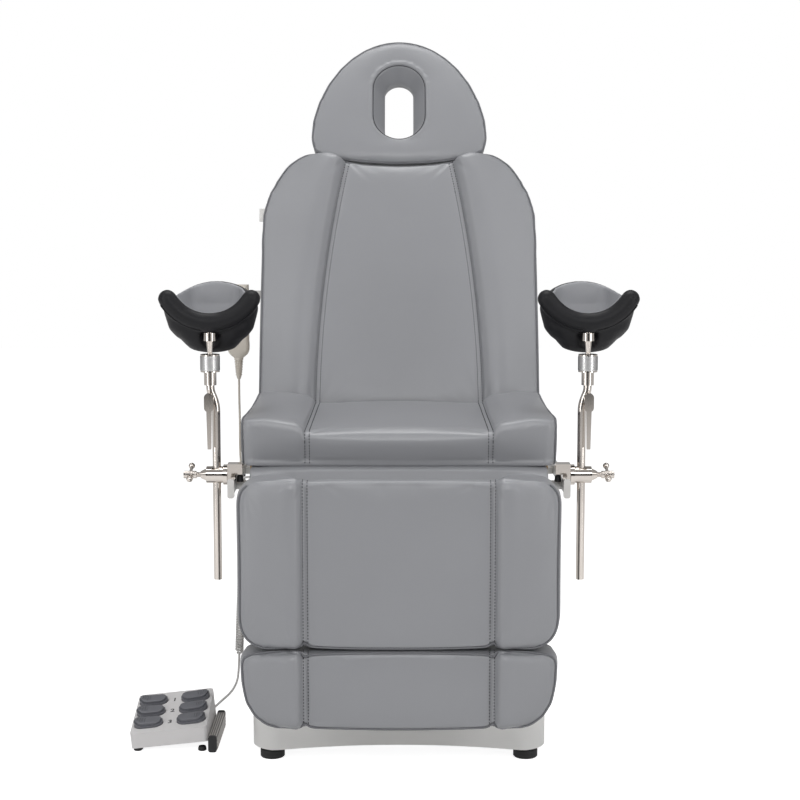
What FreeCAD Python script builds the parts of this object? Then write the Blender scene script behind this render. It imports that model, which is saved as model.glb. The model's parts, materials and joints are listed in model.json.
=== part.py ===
import FreeCAD, Part
import math
import os

# Gynecological chair with leg holders, handset and footswitch. Millimetres.
# X runs across the chair, Y from the foot end to the head end, Z up.
# The origin is on the floor, midway between the four feet.

V = FreeCAD.Vector
CENTRE = V(0, 0, 0)
X_AXIS = V(1, 0, 0)
Y_AXIS = V(0, 1, 0)
Z_AXIS = V(0, 0, 1)

# General fits
SLIDE_GAP = 0.6
TOUCH_GAP = 0.3
PIN_GAP = 0.1
EPS = 1.0

# Base, feet and cover
FOOT_SPREAD_X = 498.0
FOOT_SPREAD_Y = 660.0
FOOT_DIAMETER = 48.0
FOOT_PAD_HEIGHT = 17.0
FOOT_STEM_DIAMETER = 16.0
FOOT_NUT_DIAMETER = 30.0
FOOT_NUT_HEIGHT = 8.0
BASE_WIDTH = 578.0
BASE_LENGTH = 716.0
BASE_CORNER = 60.0
BASE_SKIRT = 19.0
BASE_ARCH = 12.0
BASE_ARCH_CHORD = 500.0
BASE_TOP = 86.0
BASE_WALL = 4.0
BASE_TOP_ROUND = 14.0
BASE_PLATE_BOTTOM = 40.0
BASE_PLATE = 8.0
INLET_X = 150.0
INLET_WIDTH = 50.0
INLET_HEIGHT = 24.0
INLET_DEPTH = 30.0
INLET_FLANGE = 3.0

# Telescopic column
COLUMN_Y = -50.0
COLUMN_WIDTH = 170.0
COLUMN_DEPTH = 130.0
COLUMN_WALL = 5.0
COLUMN_CORNER = 14.0
COLUMN_OUTER_TOP = 350.0
COLUMN_MIDDLE_TOP = 430.0
COLUMN_MIDDLE_RISE = 8.0
COLUMN_INNER_RISE = 16.0
COLUMN_TOP_PLATE = 6.0
SPINDLE_DIAMETER = 24.0
SPINDLE_TUBE_DIAMETER = 38.0
SPINDLE_TUBE_TOP = 450.0
LIFT_MOTOR_DIAMETER = 70.0
LIFT_MOTOR_HEIGHT = 52.0

# Seat
SEAT_WIDTH = 610.0
SEAT_FRONT = -390.0
SEAT_REAR = 70.0
SEAT_BOARD_TOP = 580.0
SEAT_THICKNESS = 67.0
SEAT_CROWN = 8.0
SEAT_SHOULDER = 14.0
SEAT_SEAM = 182.0
SEAT_CORNER = 24.0
SEAT_BOARD = 15.0
SEAT_BOARD_INSET = 17.0
SEAT_BOARD_REAR_INSET = 6.0
FRAME_SLAB = 20.0
FRAME_WIDTH = 540.0
FRAME_REAR = 40.0
FRAME_FRONT_INSET = 5.0
PEDESTAL_WIDTH = 190.0
PEDESTAL_DEPTH = 160.0
PEDESTAL_HEIGHT = 51.0

# Padded strip under the seat's front edge
STRIP_WIDTH = 574.0
STRIP_FRONT = -382.0
STRIP_DEPTH = 52.0
STRIP_HEIGHT = 46.0
STRIP_ROUND = 14.0

# Side rails
RAIL_X = SEAT_WIDTH / 2 + 16.5
RAIL_THICK = 10.0
RAIL_HEIGHT = 25.0
RAIL_Z = 540.5
RAIL_FRONT = -368.0
RAIL_REAR = 48.0
RAIL_CAP_WIDTH = 13.0
RAIL_CAP_HEIGHT = 37.0
RAIL_CAP_LENGTH = 8.0
RAIL_ARM_Y = (-290.0, -100.0)
RAIL_ARM_WIDTH = 30.0
RAIL_ARM_HEIGHT = 13.0

# Hinges
HINGE_PIN_DIAMETER = 12.0
HINGE_BOSS = 13.0
HINGE_PLATE = 8.0
LEG_PIVOT_Y = -420.0
LEG_PIVOT_Z = 555.0
LEG_ARM_X = 235.0
BACK_PIVOT_Y = 115.0
BACK_PIVOT_Z = 600.0
BACK_ARM_X = 200.0
BACK_TILT = 22.0

# Actuators: a pin on a crank in a slotted fork
CRANK_PIN_DIAMETER = 10.0
CRANK_PLATE = 8.0
CRANK_BOSS = 10.0
FORK_CHEEK = 5.0
FORK_WIDTH = 28.0
FORK_NOSE = 12.0
FORK_LENGTH = 44.0
FORK_PIN_PLAY = 2.1
FORK_SLOT_PLAY = 1.2
ROD_DIAMETER = 20.0
ROD_TUBE_DIAMETER = 44.0
MOTOR_LENGTH = 76.0
MOTOR_WIDTH = 60.0
MOTOR_DROP = 34.0
LEG_CRANK = 75.0
LEG_SWING = 80.0
LEG_DRIVE_X = 130.0
LEG_TUBE_FRONT = -335.0
LEG_TUBE_LENGTH = 205.0
LEG_ROD_INSIDE = 190.0
BACK_CRANK = 90.0
BACK_SWING = 68.0
BACK_DRIVE_X = -130.0
BACK_TUBE_REAR = 28.0
BACK_TUBE_LENGTH = 205.0
BACK_ROD_INSIDE = 92.0

# Control box under the seat
BOX_LEFT = -285.0
BOX_RIGHT = -190.0
BOX_FRONT = -70.0
BOX_REAR = 40.0
BOX_HEIGHT = 57.0
BOX_ROUND = 6.0
GLAND_DIAMETER = 14.0
GLAND_LENGTH = 12.0
GLAND_DROP = 33.0
HANDSET_GLAND_X = -240.0
COIL_GLAND_Y = -20.0

# Backrest, drawn upright about its hinge: Y to the back, Z up along it
BACK_FACE = -43.8
BACK_THICKNESS = 47.0
BACK_CROWN = 8.0
BACK_BOTTOM = 22.0
BACK_TOP = 621.0
BACK_HALF_WIDTH = 308.0
BACK_SHOULDER = 200.0
BACK_SHOULDER_DRAW = 0.283
BACK_SHOULDER_POWER = 2.59
BACK_CORNER = 25.0
BACK_SEAM_BOTTOM = 180.0
BACK_SEAM_TOP = 116.0
BACK_NECK_DIP = 26.0
BACK_NECK_CHORD = 400.0
BACK_BOARD = 15.0
BACK_BOARD_HALF_WIDTH = 285.0
BACK_BOARD_TOP = 450.0
BACK_BOARD_PEAK = 585.0
BACK_BOARD_TAPER = 80.0
BACK_PLATE = 8.0
BACK_PLATE_HALF_WIDTH = 240.0
BACK_PLATE_TOP = 560.0
BACK_PLATE_CORNER = 30.0
GUIDE_X = 60.0
GUIDE_DIAMETER = 22.0
GUIDE_BOTTOM = 380.0
TAG_HEIGHT = 30.0
TAG_Z = BACK_TOP - 151.0

# Headrest
HEAD_GAP = 8.0
HEAD_HEIGHT = 302.0
HEAD_HALF_WIDTH = 201.5
HEAD_WIDEST = 0.21
HEAD_POWER = 1.8
HEAD_THICKNESS = 48.0
HEAD_CROWN = 8.0
HEAD_BOARD = 12.0
HEAD_BOARD_HALF_WIDTH = 112.0
HEAD_BOARD_BOTTOM = 622.0
HEAD_BOARD_TOP = 850.0
HEAD_HINGE_Z = 640.0
HEAD_EYE = 11.0
HEAD_PIN_DIAMETER = 10.0
HEAD_KNUCKLE_X = 30.0
HEAD_KNUCKLE = 18.0
HEAD_EYE_WIDTH = 20.0
HEAD_ROD_DIAMETER = 12.0
HEAD_ROD_BOTTOM = 420.0
HOLE_HALF_WIDTH = 33.0
HOLE_BOTTOM = 661.0
HOLE_TOP = 815.0
RECESS_HALF_WIDTH = 70.0
RECESS_TOP = 853.0
RECESS_DEPTH = 42.0

# Leg rest and footrest
LEG_WIDTH = 610.0
LEG_BACK = -440.0
LEG_THICKNESS = 67.0
LEG_CROWN = 8.0
LEG_BOTTOM = 260.0
LEG_TOP = 580.0
LEG_LOWER_CORNER = 58.0
LEG_UPPER_CORNER = 44.0
LEG_SEAM = 182.0
LEG_PLATE = 8.0
LEG_PLATE_HALF_WIDTH = 258.0
LEG_PLATE_BOTTOM = 272.0
LEG_PLATE_TOP = 535.0
FOOT_REST_WIDTH = 602.0
FOOT_REST_BOTTOM = 106.0
FOOT_REST_TOP = 257.0
FOOT_REST_LOWER_CORNER = 90.0
FOOT_REST_UPPER_CORNER = 24.0
FOOT_REST_ARM_X = 150.0
FOOT_REST_ARM_WIDTH = 24.0
FOOT_REST_ARM = 7.0
FOOT_REST_ARM_TOP = 470.0
FOOT_REST_GUIDE_Z = (300.0, 400.0)
FOOT_REST_GUIDE_HEIGHT = 30.0
FOOT_REST_GUIDE_WALL = 6.0

# Leg holders, drawn on the right and mirrored to the left
HOLDER_Y = -320.0
CLAMP_LENGTH = 30.0
CLAMP_TOP = 582.0
CLAMP_BOTTOM = 527.0
CLAMP_INNER_X = RAIL_X - 18.5
CLAMP_PLATE = 5.0
CLAMP_SHELF = 562.0
KNOB_X = RAIL_X - 13.0
KNOB_TOP_RADIUS = 5.5
KNOB_BOTTOM_RADIUS = 7.0
KNOB_BOTTOM = 546.0
KNOB_HEIGHT = 12.0
BARREL_Z = 559.5
BARREL_DIAMETER = 33.0
BARREL_LENGTH = 34.0
FLANGE_DIAMETER = 40.0
FLANGE_LENGTH = 7.0
PIVOT_STUD_DIAMETER = 12.0
PIVOT_STUD_LENGTH = 9.0
NOSE_LENGTH = 11.5
NOSE_BASE_RADIUS = 13.0
NOSE_TIP_RADIUS = 7.0
SCREW_DIAMETER = 10.0
SCREW_SHOW = 8.0
HUB_DIAMETER = 15.0
HUB_LENGTH = 25.0
TOMMY_DIAMETER = 6.0
TOMMY_LONG = 30.0
TOMMY_SHORT = 15.0
TOMMY_RISE = 25.5
TOMMY_BALL_RADIUS = 6.4
HOLDER_ROD_X = RAIL_X + 31.9
HOLDER_ROD_DIAMETER = 16.0
HOLDER_ROD_BOTTOM = 353.0
HOLDER_BEND_Z = 697.0
HOLDER_BEND_HEIGHT = 27.0
STUD_X = RAIL_X + 42.5
SOCKET_DIAMETER = 24.0
SOCKET_BOTTOM = 734.5
SLEEVE_DIAMETER = 37.0
SLEEVE_BOTTOM = 760.0
SLEEVE_TOP = 794.0
SLEEVE_MOUTH = 10.0
SLEEVE_LIP = 5.0
BALL_RADIUS = 12.0
BALL_Z = 778.0
BALL_GAP = 0.1
NECK_DIAMETER = 9.7
NECK_TOP = 797.0
STEM_DIAMETER = 14.4
COLLAR_DIAMETER = 25.0
COLLAR_BOTTOM = 820.0
COLLAR_TOP = 835.5
SPIGOT_DIAMETER = 10.0
SPIGOT_TOP = 855.0
LEVER_Z = 702.5
LEVER_HUB_RADIUS = 9.0
LEVER_HUB_HEIGHT = 37.0
LEVER_TIP_Z = 612.0
LEVER_THICK = 11.0
LEVER_PIN_DIAMETER = 8.0
LEVER_BOSS_LENGTH = 6.0
LEVER_X = RAIL_X + 43.5
CRADLE_WIDTH = 192.0
CRADLE_DEPTH = 165.0
CRADLE_CORNER = 40.0
CRADLE_BOTTOM = 794.0
CRADLE_TOP = 928.0
CRADLE_WALL = 16.0
CRADLE_PAD = 6.0
CRADLE_DOME_RADIUS = 120.0
CRADLE_DIP_RADIUS = 76.0
CRADLE_DIP_Z = 873.0
CRADLE_ROLL = 18.0
CRADLE_ROLL_SPAN = 59.0
CRADLE_OVERHANG = 13.5
CRADLE_TAPER = 0.78
CRADLE_BOSS = 14.0

# Handset on its hook beside the backrest
HANDSET_X = -362.0
HANDSET_BOTTOM = 752.0
HANDSET_HEIGHT = 148.0
HANDSET_WIDTH = 48.0
HANDSET_DEPTH = 25.0
HANDSET_ROUND = 9.0
KEYPAD_WIDTH = 34.0
KEYPAD_HEIGHT = 96.0
KEYPAD_THICK = 1.6
RELIEF_BOTTOM = 688.0
RELIEF_TOP_RADIUS = 10.0
RELIEF_TIP_RADIUS = 4.6
HOOK_THICK = 4.0
HOOK_WIDTH = 44.0
HOOK_BOTTOM = 862.0
HOOK_TOP = 886.0
HOOK_ARM_BOTTOM = 868.0
HOOK_SETBACK = 10.5

# Footswitch
SWITCH_LEFT = -532.0
SWITCH_WIDTH = 154.0
SWITCH_FRONT = -304.0
SWITCH_DEPTH = 164.0
SWITCH_FRONT_HEIGHT = 30.0
SWITCH_BACK_HEIGHT = 62.0
SWITCH_ROLL = 6.0
SWITCH_LIFT = 5.0
SWITCH_WALL = 3.0
SWITCH_ROUND = 8.0
PEDAL_WIDTH = 58.0
PEDAL_DEPTH = 36.0
PEDAL_THICK = 13.0
PEDAL_PROUD = 7.0
PEDAL_COLUMN = 43.0
PEDAL_PITCH = 47.0
PEDAL_GAP = 0.8
PEDAL_RIB = 2.0
PEDAL_RIBS = 5
PEDAL_PIN = 3.0
PEDAL_HINGE_Y = PEDAL_DEPTH / 2 - 3.5
PEDAL_HINGE_Z = -9.0
BAR_WIDTH = 17.0
BAR_HEIGHT = 30.0
BAR_CAP = 7.0
SWITCH_FOOT_DIAMETER = 14.0
SWITCH_GLAND_X = -398.0
SWITCH_GLAND_Z = 24.0

# Cords
CORD_RADIUS = 2.5
CURL_RADIUS = 7.4
CURL_PITCH = 7.2
CURLS = 54
CURL_LEAD = 8.0
CLIP_X = -RAIL_X - 14.5
CLIP_Y = 44.0
CLIP_Z = 500.0
CLIP_LENGTH = 8.0
CLIP_WALL = 2.5
CURL_START = V(CLIP_X - 2.5, 85.0, 455.0)
CURL_BEND = V(CLIP_X - 15.0, 126.8, 229.2)
CURL_END = V(CLIP_X - 28.0, 203.0, 60.0)


# Helpers for solids

def box(x0, x1, y0, y1, z0, z1):
    return Part.makeBox(x1 - x0, y1 - y0, z1 - z0, V(x0, y0, z0))


def is_along(edge, axis):
    if len(edge.Vertexes) < 2:
        return False
    run = edge.Vertexes[1].Point - edge.Vertexes[0].Point
    return run.Length > 0 and abs(abs(run.dot(axis)) - run.Length) < 1e-6


def rounded_box(x0, x1, y0, y1, z0, z1, radius, axis=Z_AXIS):
    solid = box(x0, x1, y0, y1, z0, z1)
    edges = [edge for edge in solid.Edges if is_along(edge, axis)]
    return solid.makeFillet(radius, edges)


def rod(start, end, radius):
    run = end - start
    return Part.makeCylinder(radius, run.Length, start, run)


def cone(start, end, start_radius, end_radius):
    run = end - start
    return Part.makeCone(start_radius, end_radius, run.Length, start, run)


def plate_yz(points, x0, x1):
    corners = [V(x0, y, z) for y, z in points]
    face = Part.Face(Part.makePolygon(corners + corners[:1]))
    return face.extrude(V(x1 - x0, 0, 0))


def plate_xz(points, y0, y1):
    corners = [V(x, y0, z) for x, z in points]
    face = Part.Face(Part.makePolygon(corners + corners[:1]))
    return face.extrude(V(0, y1 - y0, 0))


def join(*pieces):
    whole = pieces[0].multiFuse(list(pieces[1:]))
    return whole.removeSplitter()


def mirrored(shape):
    return shape.mirror(CENTRE, X_AXIS)


def arc(start, middle, end):
    return Part.Arc(start, middle, end).toShape()


def line(start, end):
    return Part.LineSegment(start, end).toShape()


def oval_wire(place, half_width, bottom, top):
    # Two straight sides and four quarter circles; place maps across and along to a point.
    low = bottom + half_width
    high = top - half_width
    bend = half_width * math.sqrt(0.5)
    edges = [
        line(place(half_width, low), place(half_width, high)),
        arc(place(half_width, high), place(bend, high + bend), place(0, top)),
        arc(place(0, top), place(-bend, high + bend), place(-half_width, high)),
        line(place(-half_width, high), place(-half_width, low)),
        arc(place(-half_width, low), place(-bend, low - bend), place(0, bottom)),
        arc(place(0, bottom), place(bend, low - bend), place(half_width, low)),
    ]
    return Part.Wire(edges)


# Helpers for cords

def turn_radius(before, corner, after):
    first = corner - before
    second = after - corner
    turn = first.getAngle(second)
    return 0.45 * min(first.Length, second.Length) / math.tan(turn / 2)


def route_edges(points):
    # Straight runs joined by tangent arcs, each arc as large as its two runs allow.
    edges = []
    radii = []
    here = points[0]
    for before, corner, after in zip(points, points[1:], points[2:]):
        into = (before - corner).normalize()
        out = (after - corner).normalize()
        radius = turn_radius(before, corner, after)
        turn = (corner - before).getAngle(after - corner)
        back = radius * math.tan(turn / 2)
        start = corner + into * back
        end = corner + out * back
        inward = (into + out).normalize()
        middle = corner + inward * (radius / math.cos(turn / 2) - radius)
        edges.append(line(here, start))
        edges.append(arc(start, middle, end))
        radii.append(radius)
        here = end
    edges.append(line(here, points[-1]))
    return edges, radii


def tube_on(edges, radius, name):
    path = Part.Wire(edges)
    start = edges[0].valueAt(edges[0].FirstParameter)
    heading = edges[0].tangentAt(edges[0].FirstParameter)
    ring = Part.Wire(Part.makeCircle(radius, start, heading))
    tube = path.makePipeShell([ring], True, False)
    print(name, "length", round(path.Length, 1), "volume ratio",
          round(tube.Volume / (math.pi * radius ** 2 * path.Length), 4))
    return tube


def cord_tube(points, radius, name):
    edges, radii = route_edges(points)
    print(name, "bend radii", [round(value) for value in radii])
    return tube_on(edges, radius, name)


def arc_from_tangents(start, corner, end):
    chord_middle = (start + end) * 0.5
    half_chord = (end - start).Length / 2
    rise = corner - chord_middle
    sagitta = half_chord * math.tan(math.atan2(rise.Length, half_chord) / 2)
    return arc(start, chord_middle + rise.normalize() * sagitta, end)


def biarc(start, start_heading, end, end_heading):
    run = end - start
    both = start_heading + end_heading
    curl = 2 * (1 - start_heading.dot(end_heading))
    reach = run.dot(both)
    handle = (math.sqrt(reach ** 2 + curl * run.dot(run)) - reach) / curl
    first = start + start_heading * handle
    second = end - end_heading * handle
    meet = (first + second) * 0.5
    return [arc_from_tangents(start, first, meet), arc_from_tangents(meet, second, end)]


# Padded forms

def corner_draw(distance, radius):
    # How far a rounded corner draws an outline in, at a distance from its end.
    if distance >= radius:
        return 0.0
    return radius - math.sqrt(radius ** 2 - (radius - distance) ** 2)


def end_steps(start, radius, sign):
    shares = (0.0, 0.04, 0.14, 0.32, 0.6, 1.0)
    return [start + sign * radius * share for share in shares]


def stations(low, high, low_round, high_round, spans):
    first = end_steps(low, low_round, 1)
    last = end_steps(high, high_round, -1)[::-1]
    step = (last[0] - first[-1]) / spans
    return first + [first[-1] + step * count for count in range(1, spans)] + last


def wing_arcs(place, along, side, edge, seam, thick, crown, valley, shoulder):
    # A side panel's face: from its outer edge up to a crest near the seam, then steeply down into it.
    wing = edge - seam
    top = thick + crown + PAD_WING * min(1.0, wing / PAD_WING_SPAN)
    floor = thick + crown - valley
    crest = seam + 0.3 * min(wing, PAD_WING_SPAN)
    rise = thick + shoulder
    outer = place(side * edge, rise, along)
    ridge = place(side * crest, top, along)
    groove = place(side * seam, floor, along)
    slope = place(side * (edge + crest) / 2, rise + 0.72 * (top - rise), along)
    drop = place(side * (seam + 0.3 * (crest - seam)), floor + 0.66 * (top - floor), along)
    if side > 0:
        return [arc(outer, slope, ridge), arc(ridge, drop, groove)]
    return [arc(groove, drop, ridge), arc(ridge, slope, outer)]


def pad_section(place, along, half_width, thick, crown, seam, valley, bulge, shoulder):
    # One cross section: flat back, bulging sides and crowned face with sewn seams.
    edge = half_width - bulge
    right_low = place(edge, 0, along)
    right_high = place(edge, thick + shoulder, along)
    left_low = place(-edge, 0, along)
    left_high = place(-edge, thick + shoulder, along)
    right_side = arc(right_low, place(half_width, thick * 0.5, along), right_high)
    left_side = arc(left_high, place(-half_width, thick * 0.5, along), left_low)
    back = line(left_low, right_low)
    if seam is None:
        face = [arc(right_high, place(0, thick + crown, along), left_high)]
        return Part.Wire([back, right_side] + face + [left_side])
    floor = thick + crown - valley
    centre = arc(place(seam, floor, along), place(0, thick + crown, along), place(-seam, floor, along))
    face = wing_arcs(place, along, 1, edge, seam, thick, crown, valley, shoulder)
    face += [centre]
    face += wing_arcs(place, along, -1, edge, seam, thick, crown, valley, shoulder)
    return Part.Wire([back, right_side] + face + [left_side])


def pad(place, steps, half_width, thick, crown, seam=None, valley=5.0, bulge=6.0, shoulder=0.0):
    sections = []
    for along in steps:
        across = seam(along) if seam else None
        sections.append(pad_section(place, along, half_width(along), thick(along),
                                    crown, across, valley, bulge, shoulder))
    return Part.makeLoft(sections, True, True)


def soft_half_width(half, low, high, low_corner, high_corner, draw):
    # Rounded corners, and sides drawn in a little between them.
    def at(along):
        share = (along - low) / (high - low)
        inward = draw * math.sin(math.pi * share)
        cut = corner_draw(along - low, low_corner) + corner_draw(high - along, high_corner)
        return half - inward - cut
    return at


def soft_thickness(thick, low, high, roll):
    def at(along):
        return thick - corner_draw(along - low, roll) - corner_draw(high - along, roll)
    return at


PAD_ROLL = 16.0
PAD_WING = 11.0
PAD_WING_SPAN = 80.0
SIDE_DRAW = 3.0
SEAM_DEPTH = 5.0


# Base

def levelling_feet():
    feet = []
    for sx in (-1, 1):
        for sy in (-1, 1):
            place = V(sx * FOOT_SPREAD_X / 2, sy * FOOT_SPREAD_Y / 2, 0)
            top = place + V(0, 0, BASE_PLATE_BOTTOM)
            pad_top = place + V(0, 0, FOOT_PAD_HEIGHT)
            disc = rod(place, pad_top, FOOT_DIAMETER / 2)
            disc = disc.makeChamfer(2.0, disc.Edges)
            stem = rod(pad_top - V(0, 0, EPS), top, FOOT_STEM_DIAMETER / 2)
            nut = rod(top - V(0, 0, FOOT_NUT_HEIGHT), top, FOOT_NUT_DIAMETER / 2)
            feet.append(join(disc, stem, nut))
    return feet


def base_cover():
    half_x = BASE_WIDTH / 2
    half_y = BASE_LENGTH / 2
    outer = rounded_box(-half_x, half_x, -half_y, half_y, BASE_SKIRT, BASE_TOP, BASE_CORNER)
    rim = [edge for edge in outer.Edges if edge.BoundBox.ZMin > BASE_TOP - EPS]
    outer = outer.makeFillet(BASE_TOP_ROUND, rim)
    wall = BASE_WALL
    inner = rounded_box(wall - half_x, half_x - wall, wall - half_y, half_y - wall,
                        BASE_SKIRT - EPS, BASE_TOP - wall, BASE_CORNER - wall)
    lid = [edge for edge in inner.Edges if edge.BoundBox.ZMin > BASE_TOP - wall - EPS]
    shell = outer.cut(inner.makeFillet(BASE_TOP_ROUND - wall, lid))
    mouth_x = COLUMN_WIDTH / 2 + SLIDE_GAP
    mouth_y = COLUMN_DEPTH / 2 + SLIDE_GAP
    mouth = rounded_box(-mouth_x, mouth_x, COLUMN_Y - mouth_y, COLUMN_Y + mouth_y,
                        BASE_TOP - 2 * wall, BASE_TOP + EPS, COLUMN_CORNER + SLIDE_GAP)
    arch_radius = (BASE_ARCH_CHORD ** 2 / 4 + BASE_ARCH ** 2) / (2 * BASE_ARCH)
    arch_axis = V(0, -BASE_LENGTH, BASE_SKIRT + BASE_ARCH - arch_radius)
    arch = Part.makeCylinder(arch_radius, 2 * BASE_LENGTH, arch_axis, Y_AXIS)
    socket = inlet_block(TOUCH_GAP)
    return shell.cut(mouth).cut(arch).cut(socket)


def inlet_block(gap):
    middle = (BASE_PLATE_BOTTOM + BASE_PLATE + BASE_TOP - BASE_WALL) / 2
    rear = BASE_LENGTH / 2
    half = INLET_WIDTH / 2 + gap
    rise = INLET_HEIGHT / 2 + gap
    return box(INLET_X - half, INLET_X + half, rear - INLET_DEPTH, rear + INLET_FLANGE,
               middle - rise, middle + rise)


def mains_inlet():
    rear = BASE_LENGTH / 2
    block = inlet_block(0.0)
    bounds = block.BoundBox
    flange = box(bounds.XMin - 4, bounds.XMax + 4, rear, rear + INLET_FLANGE,
                 bounds.ZMin - 4, bounds.ZMax + 4)
    well = box(bounds.XMin + 10, bounds.XMax - 10, rear - 18, rear + INLET_FLANGE + EPS,
               bounds.ZMin + 4, bounds.ZMax - 4)
    whole = join(block, flange).cut(well)
    middle = (bounds.ZMin + bounds.ZMax) / 2
    pins = [box(x - 3, x + 3, rear - 20, rear - 4, middle - 1, middle + 1)
            for x in (INLET_X - 9, INLET_X, INLET_X + 9)]
    return join(whole, *pins)


def base_frame():
    half_x = BASE_WIDTH / 2 - BASE_WALL - TOUCH_GAP
    half_y = BASE_LENGTH / 2 - BASE_WALL - TOUCH_GAP
    top = BASE_PLATE_BOTTOM + BASE_PLATE
    return rounded_box(-half_x, half_x, -half_y, half_y, BASE_PLATE_BOTTOM, top,
                       BASE_CORNER - BASE_WALL)


# Column

def column_tube(inset, bottom, top):
    half_x = COLUMN_WIDTH / 2 - inset
    half_y = COLUMN_DEPTH / 2 - inset
    wall = COLUMN_WALL
    corner = max(COLUMN_CORNER - inset, 2 * wall)
    outer = rounded_box(-half_x, half_x, COLUMN_Y - half_y, COLUMN_Y + half_y, bottom, top, corner)
    inner = rounded_box(wall - half_x, half_x - wall, COLUMN_Y + wall - half_y,
                        COLUMN_Y + half_y - wall, bottom - EPS, top + EPS, corner - wall)
    return outer.cut(inner)


COLUMN_STEP = COLUMN_WALL + SLIDE_GAP
PLATE_TOP = BASE_PLATE_BOTTOM + BASE_PLATE
BOARD_BOTTOM = SEAT_BOARD_TOP - SEAT_BOARD
SLAB_BOTTOM = BOARD_BOTTOM - FRAME_SLAB
PEDESTAL_BOTTOM = SLAB_BOTTOM - PEDESTAL_HEIGHT
COLUMN_INNER_TOP = PEDESTAL_BOTTOM - COLUMN_TOP_PLATE


def column_inner():
    tube = column_tube(2 * COLUMN_STEP, PLATE_TOP + COLUMN_INNER_RISE, COLUMN_INNER_TOP)
    half_x = PEDESTAL_WIDTH / 2
    half_y = PEDESTAL_DEPTH / 2
    cap = box(-half_x, half_x, COLUMN_Y - half_y, COLUMN_Y + half_y, COLUMN_INNER_TOP, PEDESTAL_BOTTOM)
    return join(tube, cap)


def column_point(z):
    return V(0, COLUMN_Y, z)


def lift_drive():
    motor_top = PLATE_TOP + LIFT_MOTOR_HEIGHT
    motor = rod(column_point(PLATE_TOP), column_point(motor_top), LIFT_MOTOR_DIAMETER / 2)
    guide = rod(column_point(motor_top - EPS), column_point(SPINDLE_TUBE_TOP), SPINDLE_TUBE_DIAMETER / 2)
    bore = rod(column_point(motor_top), column_point(SPINDLE_TUBE_TOP + EPS),
               SPINDLE_DIAMETER / 2 + SLIDE_GAP)
    return join(motor, guide).cut(bore)


def lift_spindle():
    bottom = PLATE_TOP + LIFT_MOTOR_HEIGHT + 4
    return rod(column_point(bottom), column_point(COLUMN_INNER_TOP), SPINDLE_DIAMETER / 2)


# Seat

def seat_place(x, height, along):
    return V(x, along, SEAT_BOARD_TOP + height)


def seat_cushion():
    steps = stations(SEAT_FRONT, SEAT_REAR, SEAT_CORNER, SEAT_CORNER, 4)
    width = soft_half_width(SEAT_WIDTH / 2, SEAT_FRONT, SEAT_REAR, SEAT_CORNER, SEAT_CORNER, SIDE_DRAW)
    thick = soft_thickness(SEAT_THICKNESS, SEAT_FRONT, SEAT_REAR, PAD_ROLL)
    return pad(seat_place, steps, width, thick, SEAT_CROWN, lambda along: SEAT_SEAM, SEAM_DEPTH,
               shoulder=SEAT_SHOULDER)


STRIP_REAR = STRIP_FRONT + STRIP_DEPTH
BOARD_FRONT = STRIP_REAR + TOUCH_GAP
FRAME_FRONT = STRIP_REAR + FRAME_FRONT_INSET


def seat_board():
    half = SEAT_WIDTH / 2 - SEAT_BOARD_INSET
    return box(-half, half, BOARD_FRONT, SEAT_REAR - SEAT_BOARD_REAR_INSET, BOARD_BOTTOM, SEAT_BOARD_TOP)


def front_bolster():
    top = SEAT_BOARD_TOP - TOUCH_GAP
    bottom = top - STRIP_HEIGHT
    half = STRIP_WIDTH / 2
    swell = 4.0
    front = STRIP_FRONT
    low = bottom + STRIP_ROUND
    high = top - STRIP_ROUND

    def at(y, z):
        return V(-half, y, z)

    bend = STRIP_ROUND * (1 - math.sqrt(0.5))
    inset = front + swell
    edges = [
        line(at(STRIP_REAR, bottom), at(inset + STRIP_ROUND, bottom)),
        arc(at(inset + STRIP_ROUND, bottom), at(inset + bend, bottom + bend), at(inset, low)),
        arc(at(inset, low), at(front, (low + high) / 2), at(inset, high)),
        arc(at(inset, high), at(inset + bend, top - bend), at(inset + STRIP_ROUND, top)),
        line(at(inset + STRIP_ROUND, top), at(STRIP_REAR, top)),
        line(at(STRIP_REAR, top), at(STRIP_REAR, bottom)),
    ]
    return Part.Face(Part.Wire(edges)).extrude(V(STRIP_WIDTH, 0, 0))


def pin_hole(y, z, x0, x1, gap):
    return rod(V(x0 - EPS, y, z), V(x1 + EPS, y, z), HINGE_PIN_DIAMETER / 2 + gap)


def seat_hinge_arm(points, x, y, z):
    x0 = x - HINGE_PLATE / 2
    x1 = x + HINGE_PLATE / 2
    boss = rod(V(x0, y, z), V(x1, y, z), HINGE_BOSS)
    arm = join(plate_yz(points, x0, x1), boss)
    return arm.cut(pin_hole(y, z, x0, x1, PIN_GAP))


def leg_arm(x):
    top = SEAT_BOARD_TOP - STRIP_HEIGHT - 7
    points = [
        (FRAME_FRONT + 40, SLAB_BOTTOM + EPS), (FRAME_FRONT + 40, top - 28), (LEG_PIVOT_Y + 20, top - 28),
        (LEG_PIVOT_Y - 7, LEG_PIVOT_Z - 8), (LEG_PIVOT_Y + 7, LEG_PIVOT_Z + 8),
        (LEG_PIVOT_Y + 30, top), (FRAME_FRONT + 4, top), (FRAME_FRONT + 4, SLAB_BOTTOM + EPS),
    ]
    return seat_hinge_arm(points, x, LEG_PIVOT_Y, LEG_PIVOT_Z)


def back_arm(x):
    clear = SEAT_REAR - SEAT_BOARD_REAR_INSET + 3
    points = [
        (0, SLAB_BOTTOM + EPS), (BACK_PIVOT_Y - 30, SLAB_BOTTOM + EPS), (BACK_PIVOT_Y + 12, BACK_PIVOT_Z - 6),
        (BACK_PIVOT_Y - 12, BACK_PIVOT_Z + 6), (clear, BOARD_BOTTOM - 2), (0, BOARD_BOTTOM - 2),
    ]
    return seat_hinge_arm(points, x, BACK_PIVOT_Y, BACK_PIVOT_Z)


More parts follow.
